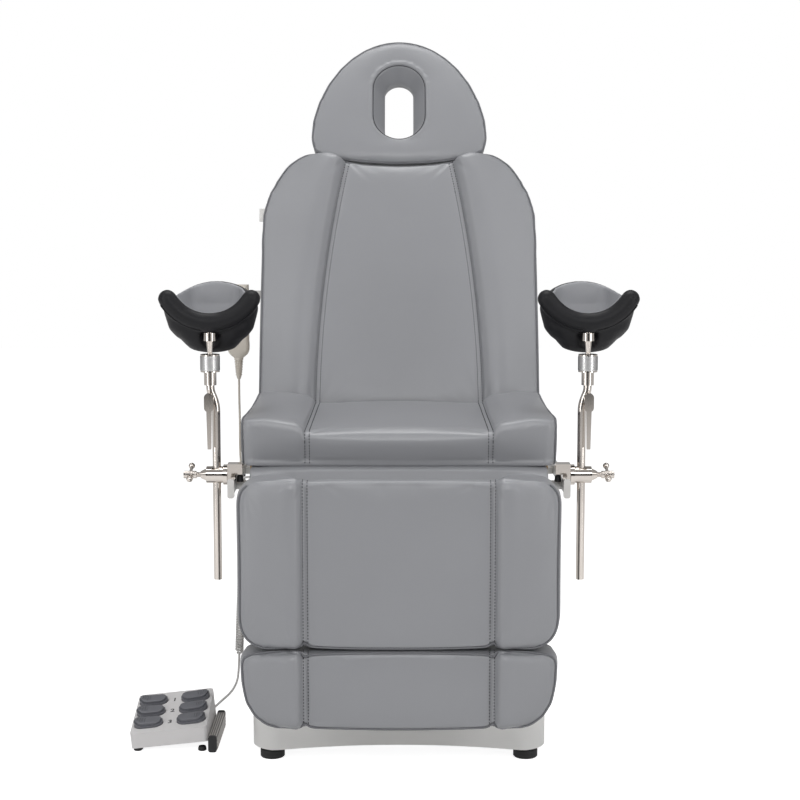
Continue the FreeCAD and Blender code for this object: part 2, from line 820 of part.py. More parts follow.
def rail_arm(side, y):
    y0 = y - RAIL_ARM_WIDTH / 2
    y1 = y + RAIL_ARM_WIDTH / 2
    low = RAIL_Z - RAIL_HEIGHT / 2
    rail_face = RAIL_X - RAIL_THICK / 2
    outer = box(240, rail_face, y0, y1, low, low + RAIL_ARM_HEIGHT)
    web = box(240, FRAME_WIDTH / 2, y0, y1, low, SLAB_BOTTOM + EPS)
    arm = join(outer, web)
    return arm if side > 0 else mirrored(arm)


def seat_frame():
    half = FRAME_WIDTH / 2
    slab = box(-half, half, FRAME_FRONT, FRAME_REAR, SLAB_BOTTOM, BOARD_BOTTOM)
    half_x = PEDESTAL_WIDTH / 2
    half_y = PEDESTAL_DEPTH / 2
    pedestal = box(-half_x, half_x, COLUMN_Y - half_y, COLUMN_Y + half_y, PEDESTAL_BOTTOM, SLAB_BOTTOM + EPS)
    pieces = [slab, pedestal]
    for side in (-1, 1):
        pieces.append(leg_arm(side * LEG_ARM_X))
        pieces.append(back_arm(side * BACK_ARM_X))
        for y in RAIL_ARM_Y:
            pieces.append(rail_arm(side, y))
    return join(*pieces)


def hinge_pins():
    reach = HINGE_PLATE + 1.0
    pins = []
    for side in (-1, 1):
        for x, y, z in ((LEG_ARM_X, LEG_PIVOT_Y, LEG_PIVOT_Z), (BACK_ARM_X, BACK_PIVOT_Y, BACK_PIVOT_Z)):
            start = side * (x - HINGE_PLATE / 2 - 1)
            end = side * (x + HINGE_PLATE / 2 + reach)
            pins.append(rod(V(start, y, z), V(end, y, z), HINGE_PIN_DIAMETER / 2))
    return pins


def side_rails():
    half_height = RAIL_HEIGHT / 2
    half_thick = RAIL_THICK / 2
    rail = box(RAIL_X - half_thick, RAIL_X + half_thick, RAIL_FRONT, RAIL_REAR,
               RAIL_Z - half_height, RAIL_Z + half_height)
    edges = [edge for edge in rail.Edges if is_along(edge, Y_AXIS)]
    rail = rail.makeFillet(1.5, edges)
    return [rail, mirrored(rail)]


def rail_end_caps():
    half_height = RAIL_CAP_HEIGHT / 2
    half_width = RAIL_CAP_WIDTH / 2
    caps = []
    for y0 in (RAIL_FRONT - RAIL_CAP_LENGTH, RAIL_REAR):
        cap = rounded_box(RAIL_X - half_width, RAIL_X + half_width, y0, y0 + RAIL_CAP_LENGTH,
                          RAIL_Z - half_height, RAIL_Z + half_height, 4.0, Y_AXIS)
        caps += [cap, mirrored(cap)]
    return caps


def control_box():
    bottom = SLAB_BOTTOM - BOX_HEIGHT
    case = rounded_box(BOX_LEFT, BOX_RIGHT, BOX_FRONT, BOX_REAR, bottom, SLAB_BOTTOM, BOX_ROUND)
    z = SLAB_BOTTOM - GLAND_DROP - BOX_ROUND
    rear = rod(V(HANDSET_GLAND_X, BOX_REAR, z), V(HANDSET_GLAND_X, BOX_REAR + GLAND_LENGTH, z),
               GLAND_DIAMETER / 2)
    left = rod(V(BOX_LEFT, COIL_GLAND_Y, z), V(BOX_LEFT - GLAND_LENGTH, COIL_GLAND_Y, z),
               GLAND_DIAMETER / 2)
    return [case, rear, left]


# Actuators

def half_swing(crank, swing):
    angle = math.radians(swing / 2)
    return crank * math.sin(angle), crank * math.cos(angle)


LEG_PIN_OUT, LEG_PIN_DROP = half_swing(LEG_CRANK, LEG_SWING)
BACK_PIN_OUT, BACK_PIN_DROP = half_swing(BACK_CRANK, BACK_SWING)
LEG_DRIVE_Z = LEG_PIVOT_Z - (LEG_CRANK + LEG_PIN_DROP) / 2
BACK_DRIVE_Z = BACK_PIVOT_Z - (BACK_CRANK + BACK_PIN_DROP) / 2
LEG_PIN_Y = LEG_PIVOT_Y + LEG_PIN_OUT
BACK_PIN_Y = BACK_PIVOT_Y + BACK_PIN_OUT


def actuator_rod(x, pin_y, z, heading, inner_end, pin_rise):
    # A rod with a slotted fork; heading is the way the fork points along Y.
    half = FORK_WIDTH / 2
    slot_rise = pin_rise / 2 + CRANK_PIN_DIAMETER / 2 + FORK_SLOT_PLAY
    tall = slot_rise + FORK_CHEEK
    ends = sorted((pin_y + heading * FORK_NOSE, pin_y - heading * (FORK_LENGTH - FORK_NOSE)))
    fork = box(x - half, x + half, ends[0], ends[1], z - tall, z + tall)
    gap = half - FORK_CHEEK
    cut_ends = sorted((pin_y + heading * (FORK_NOSE + EPS), pin_y - heading * (FORK_NOSE + 9)))
    mouth = box(x - gap, x + gap, cut_ends[0], cut_ends[1], z - tall - EPS, z + tall + EPS)
    pin_half = CRANK_PIN_DIAMETER / 2 + FORK_PIN_PLAY
    slot = box(x - half - EPS, x + half + EPS, pin_y - pin_half, pin_y + pin_half,
               z - slot_rise, z + slot_rise)
    shaft_start = pin_y - heading * (FORK_LENGTH - FORK_NOSE - EPS)
    shaft = rod(V(x, shaft_start, z), V(x, inner_end, z), ROD_DIAMETER / 2)
    return join(fork.cut(mouth).cut(slot), shaft)


def leg_actuator_rod():
    return actuator_rod(LEG_DRIVE_X, LEG_PIN_Y, LEG_DRIVE_Z, -1, LEG_TUBE_FRONT + LEG_ROD_INSIDE,
                        LEG_CRANK - LEG_PIN_DROP)


def back_actuator_rod():
    return actuator_rod(BACK_DRIVE_X, BACK_PIN_Y, BACK_DRIVE_Z, 1, BACK_TUBE_REAR - BACK_ROD_INSIDE,
                        BACK_CRANK - BACK_PIN_DROP)


def actuator_body(x, z, mouth_y, heading, length):
    # Tube with its mouth towards the fork, motor block at the far end, hangers to the frame.
    far = mouth_y - heading * length
    tube = rod(V(x, mouth_y, z), V(x, far, z), ROD_TUBE_DIAMETER / 2)
    ends = sorted((far, far - heading * MOTOR_LENGTH))
    half = MOTOR_WIDTH / 2 - 5
    block = rounded_box(x - half, x + half, ends[0], ends[1], z - MOTOR_DROP, z + 22, 8.0, Y_AXIS)
    hangers = []
    for share in (0.1, 0.85):
        y = mouth_y - heading * length * share
        hangers.append(box(x - 12, x + 12, y - 10, y + 10, z + 12, SLAB_BOTTOM))
    bore = rod(V(x, mouth_y + heading * EPS, z), V(x, far + heading * 6, z), ROD_DIAMETER / 2 + SLIDE_GAP)
    return join(tube, block, *hangers).cut(bore)


def leg_actuator():
    return actuator_body(LEG_DRIVE_X, LEG_DRIVE_Z, LEG_TUBE_FRONT, -1, LEG_TUBE_LENGTH)


def back_actuator():
    return actuator_body(BACK_DRIVE_X, BACK_DRIVE_Z, BACK_TUBE_REAR, 1, BACK_TUBE_LENGTH)


def crank_pin(x, y, z):
    reach = FORK_WIDTH / 2 + 2
    return rod(V(x - reach, y, z), V(x + reach, y, z), CRANK_PIN_DIAMETER / 2)


# Backrest, made upright about its hinge and then leaned back

def leaned(shape):
    placed = shape.copy()
    placed.rotate(CENTRE, X_AXIS, -BACK_TILT)
    placed.translate(V(0, BACK_PIVOT_Y, BACK_PIVOT_Z))
    return placed


BACK_BOARD_FACE = BACK_FACE + BACK_THICKNESS + BACK_CROWN
BACK_PLATE_FACE = BACK_BOARD_FACE + BACK_BOARD
BACK_PLATE_REAR = BACK_PLATE_FACE + BACK_PLATE
GUIDE_Y = BACK_PLATE_REAR + GUIDE_DIAMETER / 2 - 0.2


def back_half_width(along):
    start = BACK_TOP - BACK_SHOULDER
    share = max(0.0, (along - start) / BACK_SHOULDER)
    shoulder = BACK_HALF_WIDTH * BACK_SHOULDER_DRAW * share ** BACK_SHOULDER_POWER
    lower = corner_draw(along - BACK_BOTTOM, BACK_CORNER)
    return BACK_HALF_WIDTH - shoulder - lower - corner_draw(BACK_TOP - along, BACK_CORNER)


def back_seam(along):
    share = (along - BACK_BOTTOM) / (BACK_TOP - BACK_BOTTOM)
    return BACK_SEAM_BOTTOM + (BACK_SEAM_TOP - BACK_SEAM_BOTTOM) * share ** 2


def back_place(x, height, along):
    return V(x, BACK_BOARD_FACE - height, along)


NECK_RADIUS = (BACK_NECK_CHORD ** 2 / 4 + BACK_NECK_DIP ** 2) / (2 * BACK_NECK_DIP)


def backrest_cushion():
    steps = stations(BACK_BOTTOM, BACK_TOP, BACK_CORNER, BACK_CORNER, 9)
    thick = soft_thickness(BACK_THICKNESS, BACK_BOTTOM, BACK_TOP, PAD_ROLL)
    whole = pad(back_place, steps, back_half_width, thick, BACK_CROWN, back_seam, SEAM_DEPTH)
    axis_start = V(0, BACK_FACE - 20, BACK_TOP - BACK_NECK_DIP + NECK_RADIUS)
    neck = Part.makeCylinder(NECK_RADIUS, 120, axis_start, Y_AXIS)
    half = back_half_width(TAG_Z) - 5
    tag = box(-half - 14, -half + 5, BACK_BOARD_FACE - 26, BACK_BOARD_FACE - 25, TAG_Z, TAG_Z + TAG_HEIGHT)
    return [leaned(whole.cut(neck)), leaned(tag.cut(whole))]


def backrest_board():
    half = BACK_BOARD_HALF_WIDTH
    bottom = BACK_BOTTOM + 8
    neck = half - BACK_BOARD_TAPER
    points = [(-half, bottom), (half, bottom), (half, BACK_BOARD_TOP), (neck, BACK_BOARD_PEAK),
              (-neck, BACK_BOARD_PEAK), (-half, BACK_BOARD_TOP)]
    return leaned(plate_xz(points, BACK_BOARD_FACE, BACK_PLATE_FACE))


def back_ear(x):
    x0 = x
    x1 = x + HINGE_PLATE
    rear = BACK_PLATE_REAR
    points = [(6, -11), (rear, 4), (rear, 110), (BACK_PLATE_FACE, 110), (BACK_PLATE_FACE, 20), (-2, 12)]
    boss = rod(V(x0, 0, 0), V(x1, 0, 0), HINGE_BOSS)
    ear = join(plate_yz(points, x0, x1), boss)
    return ear.cut(pin_hole(0, 0, x0, x1, PIN_GAP))


def back_crank():
    # The crank pin in the upright backrest's own place.
    tilt = math.radians(BACK_TILT)
    y = BACK_PIN_OUT * math.cos(tilt) + BACK_PIN_DROP * math.sin(tilt)
    z = BACK_PIN_OUT * math.sin(tilt) - BACK_PIN_DROP * math.cos(tilt)
    x0 = BACK_DRIVE_X - CRANK_PLATE / 2
    x1 = BACK_DRIVE_X + CRANK_PLATE / 2
    points = [(BACK_PLATE_REAR - EPS, 120), (BACK_PLATE_REAR - EPS, BACK_BOTTOM), (y - 9, z - 2),
              (y + 3, z - 8), (y + 9, z + 4), (BACK_PLATE_REAR + 26, 40)]
    web = plate_yz(points, x0, x1)
    boss = rod(V(x0, y, z), V(x1, y, z), CRANK_BOSS)
    return join(web, boss, crank_pin(BACK_DRIVE_X, y, z))


def backrest_frame():
    half = BACK_PLATE_HALF_WIDTH
    panel = rounded_box(-half, half, BACK_PLATE_FACE, BACK_PLATE_REAR, BACK_BOTTOM, BACK_PLATE_TOP,
                        BACK_PLATE_CORNER, Y_AXIS)
    ear = back_ear(BACK_ARM_X + HINGE_PLATE / 2 + SLIDE_GAP)
    pieces = [panel, ear, mirrored(ear), back_crank()]
    bores = []
    for side in (-1, 1):
        x = side * GUIDE_X
        low = V(x, GUIDE_Y, GUIDE_BOTTOM)
        high = V(x, GUIDE_Y, BACK_PLATE_TOP)
        pieces.append(rod(low, high, GUIDE_DIAMETER / 2))
        bores.append(rod(low - Z_AXIS, high + Z_AXIS, HEAD_ROD_DIAMETER / 2 + SLIDE_GAP))
    whole = join(*pieces)
    for bore in bores:
        whole = whole.cut(bore)
    return leaned(whole)


# Headrest

HEAD_BOTTOM = BACK_TOP - BACK_NECK_DIP + HEAD_GAP
HEAD_TOP = HEAD_BOTTOM + HEAD_HEIGHT


def head_half_width(along):
    # A rounded triangle: a wide bottom on the neck's arc, drawn in to a round top.
    share = (along - HEAD_BOTTOM) / HEAD_HEIGHT
    rise = max(0.0, (share - HEAD_WIDEST) / (1 - HEAD_WIDEST))
    sides = HEAD_HALF_WIDTH * math.sqrt(max(0.0, 1 - rise ** HEAD_POWER))
    depth = along - HEAD_BOTTOM
    neck = math.sqrt(max(0.0, 2 * NECK_RADIUS * depth - depth ** 2))
    blend = 9.0
    if min(sides, neck) <= 0:
        return 0.0
    return (sides ** -blend + neck ** -blend) ** (-1 / blend)


def face_hole(front, rear):
    def ring(y):
        return lambda across, along: V(across, y, along)
    slot_face = front + RECESS_DEPTH
    mouth = oval_wire(ring(front - 10), RECESS_HALF_WIDTH, HOLE_BOTTOM - 2, RECESS_TOP)
    neck = oval_wire(ring(slot_face), HOLE_HALF_WIDTH, HOLE_BOTTOM, HOLE_TOP)
    funnel = Part.makeLoft([mouth, neck], True, True)
    slot = Part.Face(oval_wire(ring(slot_face - EPS), HOLE_HALF_WIDTH, HOLE_BOTTOM, HOLE_TOP))
    return join(funnel, slot.extrude(V(0, rear - slot_face + 2 * EPS, 0)))


def headrest_cushion():
    low = HEAD_BOTTOM + 0.6
    high = HEAD_TOP - 0.8
    inner = [low + 1.2, low + 4, low + 10, low + 20, low + 32, low + 60, low + 105, low + 150, low + 195,
             high - 68, high - 42, high - 22, high - 9, high - 2.5]
    steps = [low] + inner + [high]
    thick = soft_thickness(HEAD_THICKNESS, low, high, PAD_ROLL)
    whole = pad(back_place, steps, head_half_width, thick, HEAD_CROWN)
    front = BACK_BOARD_FACE - HEAD_THICKNESS - HEAD_CROWN
    return leaned(whole.cut(face_hole(front, BACK_BOARD_FACE)))


def headrest_board():
    half = HEAD_BOARD_HALF_WIDTH
    rear = BACK_BOARD_FACE + HEAD_BOARD
    board = rounded_box(-half, half, BACK_BOARD_FACE, rear, HEAD_BOARD_BOTTOM, HEAD_BOARD_TOP, 50, Y_AXIS)
    hole = Part.Face(oval_wire(lambda across, along: V(across, BACK_BOARD_FACE - EPS, along),
                               HOLE_HALF_WIDTH + 2, HOLE_BOTTOM - 2, HOLE_TOP + 2))
    pieces = [board.cut(hole.extrude(V(0, HEAD_BOARD + 2 * EPS, 0)))]
    for x0 in (HEAD_KNUCKLE_X, -HEAD_KNUCKLE_X - HEAD_KNUCKLE):
        x1 = x0 + HEAD_KNUCKLE
        pieces.append(rod(V(x0, GUIDE_Y, HEAD_HINGE_Z), V(x1, GUIDE_Y, HEAD_HINGE_Z), HEAD_EYE))
        pieces.append(box(x0, x1, rear - EPS, GUIDE_Y, HEAD_HINGE_Z - 9, HEAD_HINGE_Z + 9))
    whole = join(*pieces)
    reach = HEAD_KNUCKLE_X + HEAD_KNUCKLE + EPS
    hinge = rod(V(-reach, GUIDE_Y, HEAD_HINGE_Z), V(reach, GUIDE_Y, HEAD_HINGE_Z),
                HEAD_PIN_DIAMETER / 2 + PIN_GAP)
    return leaned(whole.cut(hinge))


def headrest_bracket():
    start = HEAD_KNUCKLE_X + HEAD_KNUCKLE + SLIDE_GAP
    end = start + HEAD_EYE_WIDTH
    pieces = [rod(V(-end, GUIDE_Y, HEAD_HINGE_Z), V(end, GUIDE_Y, HEAD_HINGE_Z), HEAD_PIN_DIAMETER / 2)]
    for side in (-1, 1):
        pieces.append(rod(V(side * start, GUIDE_Y, HEAD_HINGE_Z), V(side * end, GUIDE_Y, HEAD_HINGE_Z), HEAD_EYE))
        pieces.append(rod(V(side * GUIDE_X, GUIDE_Y, HEAD_ROD_BOTTOM), V(side * GUIDE_X, GUIDE_Y, HEAD_HINGE_Z),
                          HEAD_ROD_DIAMETER / 2))
    return leaned(join(*pieces))


# Leg rest and footrest

def leg_place(x, height, along):
    return V(x, LEG_BACK - height, along)


def legrest_cushion():
    steps = stations(LEG_BOTTOM, LEG_TOP, LEG_LOWER_CORNER, LEG_UPPER_CORNER, 4)
    width = soft_half_width(LEG_WIDTH / 2, LEG_BOTTOM, LEG_TOP, LEG_LOWER_CORNER, LEG_UPPER_CORNER, SIDE_DRAW)
    thick = soft_thickness(LEG_THICKNESS, LEG_BOTTOM, LEG_TOP, PAD_ROLL)
    return pad(leg_place, steps, width, thick, LEG_CROWN, lambda along: LEG_SEAM, SEAM_DEPTH)


def footrest_cushion():
    low = FOOT_REST_BOTTOM
    high = FOOT_REST_TOP
    steps = stations(low, high, FOOT_REST_LOWER_CORNER, FOOT_REST_UPPER_CORNER, 2)
    width = soft_half_width(FOOT_REST_WIDTH / 2, low, high, FOOT_REST_LOWER_CORNER,
                            FOOT_REST_UPPER_CORNER, SIDE_DRAW)
    thick = soft_thickness(LEG_THICKNESS, low, high, PAD_ROLL)
    return pad(leg_place, steps, width, thick, LEG_CROWN, lambda along: LEG_SEAM, SEAM_DEPTH)


LEG_PLATE_REAR = LEG_BACK + LEG_PLATE
ARM_FACE = LEG_PLATE_REAR + SLIDE_GAP


def leg_ear():
    x0 = LEG_ARM_X + HINGE_PLATE / 2 + SLIDE_GAP
    x1 = x0 + HINGE_PLATE
    y = LEG_PIVOT_Y
    z = LEG_PIVOT_Z
    points = [(LEG_BACK, z - 85), (LEG_PLATE_REAR + 4, z - 85), (y + 10, z - 8), (y - 2, z + 13),
              (y - 10, z + 8), (LEG_BACK, z - 20)]
    boss = rod(V(x0, y, z), V(x1, y, z), HINGE_BOSS)
    return join(plate_yz(points, x0, x1), boss).cut(pin_hole(y, z, x0, x1, PIN_GAP))


def leg_crank():
    y = LEG_PIN_Y
    z = LEG_PIVOT_Z - LEG_PIN_DROP
    x0 = LEG_DRIVE_X - CRANK_PLATE / 2
    x1 = LEG_DRIVE_X + CRANK_PLATE / 2
    points = [(LEG_PLATE_REAR - EPS, LEG_PLATE_TOP), (LEG_PLATE_REAR - EPS, z - 40), (y + 2, z - 9),
              (y + 9, z + 3), (y - 4, z + 9)]
    boss = rod(V(x0, y, z), V(x1, y, z), CRANK_BOSS)
    return join(plate_yz(points, x0, x1), boss, crank_pin(LEG_DRIVE_X, y, z))


def footrest_guide(side, z):
    half = FOOT_REST_ARM_WIDTH / 2 + SLIDE_GAP
    wall = FOOT_REST_GUIDE_WALL
    x = side * FOOT_REST_ARM_X
    rear = ARM_FACE + FOOT_REST_ARM + SLIDE_GAP
    block = box(x - half - wall, x + half + wall, LEG_PLATE_REAR - EPS, rear + wall, z, z + FOOT_REST_GUIDE_HEIGHT)
    slot = box(x - half, x + half, LEG_PLATE_REAR, rear, z - EPS, z + FOOT_REST_GUIDE_HEIGHT + EPS)
    return block.cut(slot)


def legrest_frame():
    half = LEG_PLATE_HALF_WIDTH
    panel = box(-half, half, LEG_BACK, LEG_PLATE_REAR, LEG_PLATE_BOTTOM, LEG_PLATE_TOP)
    ear = leg_ear()
    pieces = [panel, ear, mirrored(ear), leg_crank()]
    for side in (-1, 1):
        for z in FOOT_REST_GUIDE_Z:
            pieces.append(footrest_guide(side, z))
    return join(*pieces)


def footrest_slides():
    half = FOOT_REST_WIDTH / 2 - 50
    panel = box(-half, half, LEG_BACK, ARM_FACE, FOOT_REST_BOTTOM + 14, FOOT_REST_TOP - 5)
    pieces = [panel]
    arm_half = FOOT_REST_ARM_WIDTH / 2
    for side in (-1, 1):
        x = side * FOOT_REST_ARM_X
        pieces.append(box(x - arm_half, x + arm_half, ARM_FACE - EPS / 2, ARM_FACE + FOOT_REST_ARM,
                          FOOT_REST_BOTTOM + 40, FOOT_REST_ARM_TOP))
    slot = [box(side * FOOT_REST_ARM_X - arm_half - EPS, side * FOOT_REST_ARM_X + arm_half + EPS,
                LEG_BACK - EPS, ARM_FACE, FOOT_REST_TOP - 5, FOOT_REST_ARM_TOP + EPS) for side in (-1, 1)]
    whole = join(*pieces)
    for cut in slot:
        whole = whole.cut(cut)
    return whole


# Leg holder, right hand

RAIL_TOP = RAIL_Z + RAIL_HEIGHT / 2
RAIL_OUTER = RAIL_X + RAIL_THICK / 2
RAIL_INNER = RAIL_X - RAIL_THICK / 2
CLAMP_FACE = RAIL_OUTER + TOUCH_GAP + CLAMP_PLATE
FLANGE_X = CLAMP_FACE + TOUCH_GAP
BARREL_X = FLANGE_X + FLANGE_LENGTH
BARREL_END = BARREL_X + BARREL_LENGTH
NOSE_END = BARREL_END + NOSE_LENGTH
HUB_X = NOSE_END + SCREW_SHOW


def across_rod(x0, x1, radius):
    return rod(V(x0, HOLDER_Y, BARREL_Z), V(x1, HOLDER_Y, BARREL_Z), radius)


def rail_clamp():
    y0 = HOLDER_Y - CLAMP_LENGTH / 2
    y1 = HOLDER_Y + CLAMP_LENGTH / 2
    block = box(CLAMP_INNER_X, CLAMP_FACE, y0, y1, CLAMP_BOTTOM, CLAMP_TOP)
    over = box(RAIL_INNER - TOUCH_GAP, RAIL_OUTER + TOUCH_GAP, y0 - EPS, y1 + EPS,
               CLAMP_BOTTOM - EPS, RAIL_TOP + TOUCH_GAP)
    inside = box(CLAMP_INNER_X - EPS, RAIL_INNER, y0 - EPS, y1 + EPS, CLAMP_BOTTOM - EPS, CLAMP_SHELF)
    stud = across_rod(CLAMP_FACE - EPS, CLAMP_FACE + PIVOT_STUD_LENGTH, PIVOT_STUD_DIAMETER / 2)
    body = join(block.cut(over).cut(inside), stud)
    low = V(KNOB_X, HOLDER_Y, KNOB_BOTTOM)
    grip_top = low + V(0, 0, KNOB_HEIGHT)
    grip = cone(low, grip_top, KNOB_BOTTOM_RADIUS, KNOB_TOP_RADIUS)
    spindle = rod(grip_top - Z_AXIS, V(KNOB_X, HOLDER_Y, CLAMP_SHELF), KNOB_TOP_RADIUS - 2)
    return [body, join(grip, spindle)]


def clamp_barrel():
    flange = across_rod(FLANGE_X, BARREL_X + EPS, FLANGE_DIAMETER / 2)
    barrel = across_rod(BARREL_X, BARREL_END, BARREL_DIAMETER / 2)
    nose = cone(V(BARREL_END - EPS, HOLDER_Y, BARREL_Z), V(NOSE_END, HOLDER_Y, BARREL_Z),
                NOSE_BASE_RADIUS, NOSE_TIP_RADIUS)
    whole = join(flange, barrel, nose)
    pivot = across_rod(FLANGE_X - EPS, CLAMP_FACE + PIVOT_STUD_LENGTH + 1, PIVOT_STUD_DIAMETER / 2 + PIN_GAP)
    rod_hole = rod(V(HOLDER_ROD_X, HOLDER_Y, BARREL_Z - FLANGE_DIAMETER),
                   V(HOLDER_ROD_X, HOLDER_Y, BARREL_Z + FLANGE_DIAMETER), HOLDER_ROD_DIAMETER / 2 + TOUCH_GAP)
    screw_hole = across_rod(HOLDER_ROD_X, NOSE_END + EPS, SCREW_DIAMETER / 2 + PIN_GAP)
    return whole.cut(pivot).cut(rod_hole).cut(screw_hole)


def clamp_screw():
    start = HOLDER_ROD_X + HOLDER_ROD_DIAMETER / 2 + TOUCH_GAP
    thread = across_rod(start, HUB_X + EPS, SCREW_DIAMETER / 2)
    hub = across_rod(HUB_X, HUB_X + HUB_LENGTH, HUB_DIAMETER / 2)
    middle = V(HUB_X + HUB_LENGTH / 2, HOLDER_Y, BARREL_Z)
    rise = math.radians(TOMMY_RISE)
    heading = V(0, math.cos(rise), math.sin(rise))
    long_end = middle + heading * TOMMY_LONG
    short_end = middle - heading * TOMMY_SHORT
    bar = rod(short_end, long_end, TOMMY_DIAMETER / 2)
    balls = [Part.makeSphere(TOMMY_BALL_RADIUS, end) for end in (short_end, long_end)]
    return join(thread, hub, bar, *balls)


def stirrup_rod():
    low = V(HOLDER_ROD_X, HOLDER_Y, HOLDER_ROD_BOTTOM)
    bend = V(HOLDER_ROD_X, HOLDER_Y, HOLDER_BEND_Z)
    offset = V(STUD_X, HOLDER_Y, HOLDER_BEND_Z + HOLDER_BEND_HEIGHT)
    top = V(STUD_X, HOLDER_Y, SOCKET_BOTTOM + 6)
    edges = route_edges([low, bend, offset, top])[0]
    shaft = tube_on(edges, HOLDER_ROD_DIAMETER / 2, "stirrup rod")
    socket = rod(V(STUD_X, HOLDER_Y, SOCKET_BOTTOM), V(STUD_X, HOLDER_Y, SLEEVE_BOTTOM), SOCKET_DIAMETER / 2)
    pin_y = HOLDER_Y - HOLDER_ROD_DIAMETER / 2
    boss = rod(V(LEVER_X, HOLDER_Y, LEVER_Z), V(LEVER_X, pin_y - LEVER_BOSS_LENGTH, LEVER_Z), LEVER_HUB_RADIUS)
    pin = rod(V(LEVER_X, HOLDER_Y, LEVER_Z),
              V(LEVER_X, pin_y - LEVER_BOSS_LENGTH - LEVER_THICK, LEVER_Z), LEVER_PIN_DIAMETER / 2)
    return [join(shaft, socket, boss, pin), knurled_sleeve()]


def knurled_sleeve():
    def at(z):
        return V(STUD_X, HOLDER_Y, z)
    body = rod(at(SLEEVE_BOTTOM), at(SLEEVE_TOP), SLEEVE_DIAMETER / 2)
    seat = Part.makeSphere(BALL_RADIUS + BALL_GAP, at(BALL_Z))
    mouth = rod(at(BALL_Z), at(SLEEVE_TOP + EPS), SLEEVE_MOUTH)
    return body.cut(seat).cut(mouth)


def clamp_lever():
    rear = HOLDER_Y - HOLDER_ROD_DIAMETER / 2 - LEVER_BOSS_LENGTH - TOUCH_GAP
    front = rear - LEVER_THICK
    reach = LEVER_HUB_HEIGHT / 2

    def ring(across, along):
        return V(LEVER_X + across, front, along)

    hub = Part.Face(oval_wire(ring, LEVER_HUB_RADIUS, LEVER_Z - reach, LEVER_Z + reach))
    hub = hub.extrude(V(0, LEVER_THICK, 0))
    points = [(LEVER_X - 5, LEVER_Z - reach + 6), (LEVER_X + 5, LEVER_Z - reach + 6),
              (LEVER_X + 3.4, LEVER_TIP_Z), (LEVER_X - 3.4, LEVER_TIP_Z)]
    handle = plate_xz(points, front + 1.5, rear - 1.5)
    bore = rod(V(LEVER_X, front - EPS, LEVER_Z), V(LEVER_X, rear + EPS, LEVER_Z), LEVER_PIN_DIAMETER / 2 + PIN_GAP)
    return join(hub, handle).cut(bore)


def ball_stud():
    def at(z):
        return V(STUD_X, HOLDER_Y, z)
    ball = Part.makeSphere(BALL_RADIUS, at(BALL_Z))
    neck = rod(at(BALL_Z), at(NECK_TOP), NECK_DIAMETER / 2)
    stem = cone(at(NECK_TOP), at(COLLAR_BOTTOM), NECK_DIAMETER / 2, STEM_DIAMETER / 2)
    collar = rod(at(COLLAR_BOTTOM), at(COLLAR_TOP), COLLAR_DIAMETER / 2)
    spigot = rod(at(COLLAR_TOP), at(SPIGOT_TOP), SPIGOT_DIAMETER / 2)
    return join(ball, neck, stem, collar, spigot)


def cradle_ring(z, inset, shrink):
    half = CRADLE_WIDTH / 2 * shrink - inset
    narrow = CRADLE_WIDTH / 2 * shrink * CRADLE_TAPER - inset
    front = HOLDER_Y - CRADLE_OVERHANG + CRADLE_DEPTH / 2 * (1 - shrink) + inset
    rear = HOLDER_Y - CRADLE_OVERHANG + CRADLE_DEPTH / 2 * (1 + shrink) - inset
    corner = CRADLE_CORNER * shrink - inset * 0.6
    bend = corner * (1 - math.sqrt(0.5))
    x0 = STUD_X - half
    x1 = STUD_X + half
    x2 = STUD_X + narrow
    x3 = STUD_X - narrow
    edges = [
        line(V(x0 + corner, front, z), V(x1 - corner, front, z)),
        arc(V(x1 - corner, front, z), V(x1 - bend, front + bend, z), V(x1, front + corner, z)),
        line(V(x1, front + corner, z), V(x2, rear - corner, z)),
        arc(V(x2, rear - corner, z), V(x2 - bend, rear - bend, z), V(x2 - corner, rear, z)),
        line(V(x2 - corner, rear, z), V(x3 + corner, rear, z)),
        arc(V(x3 + corner, rear, z), V(x3 + bend, rear - bend, z), V(x3, rear - corner, z)),
        line(V(x3, rear - corner, z), V(x0, front + corner, z)),
        arc(V(x0, front + corner, z), V(x0 + bend, front + bend, z), V(x0 + corner, front, z)),
    ]
    return Part.Wire(edges)


CRADLE_LEVELS = ((0.0, 0.46), (0.06, 0.58), (0.17, 0.72), (0.34, 0.85), (0.6, 0.95), (1.0, 1.0))


def cradle_form(bottom, inset, top):
    rings = []
    for share, shrink in CRADLE_LEVELS:
        z = bottom + (top - bottom) * share
        rings.append(cradle_ring(z, inset, shrink))
    return Part.makeLoft(rings, True, True)


def cradle_dip():
    # The front wall's round dip that the knee passes over.
    axis_z = CRADLE_DIP_Z + CRADLE_DIP_RADIUS
    start = V(STUD_X, HOLDER_Y - 2 * CRADLE_DEPTH, axis_z)
    return Part.makeCylinder(CRADLE_DIP_RADIUS, 2 * CRADLE_DEPTH + CRADLE_WALL + CRADLE_PAD, start, Y_AXIS)


def cradle_roll(radius):
    reach = CRADLE_DIP_RADIUS + CRADLE_ROLL
    axis_z = CRADLE_DIP_Z + CRADLE_DIP_RADIUS

    def at(degrees):
        angle = math.radians(degrees)
        return V(STUD_X + reach * math.sin(angle), HOLDER_Y, axis_z - reach * math.cos(angle))

    bend = arc(at(-CRADLE_ROLL_SPAN), at(0), at(CRADLE_ROLL_SPAN))
    ends = [Part.makeSphere(radius, at(angle)) for angle in (-CRADLE_ROLL_SPAN, CRADLE_ROLL_SPAN)]
    return join(tube_on([bend], radius, "cradle roll"), *ends)


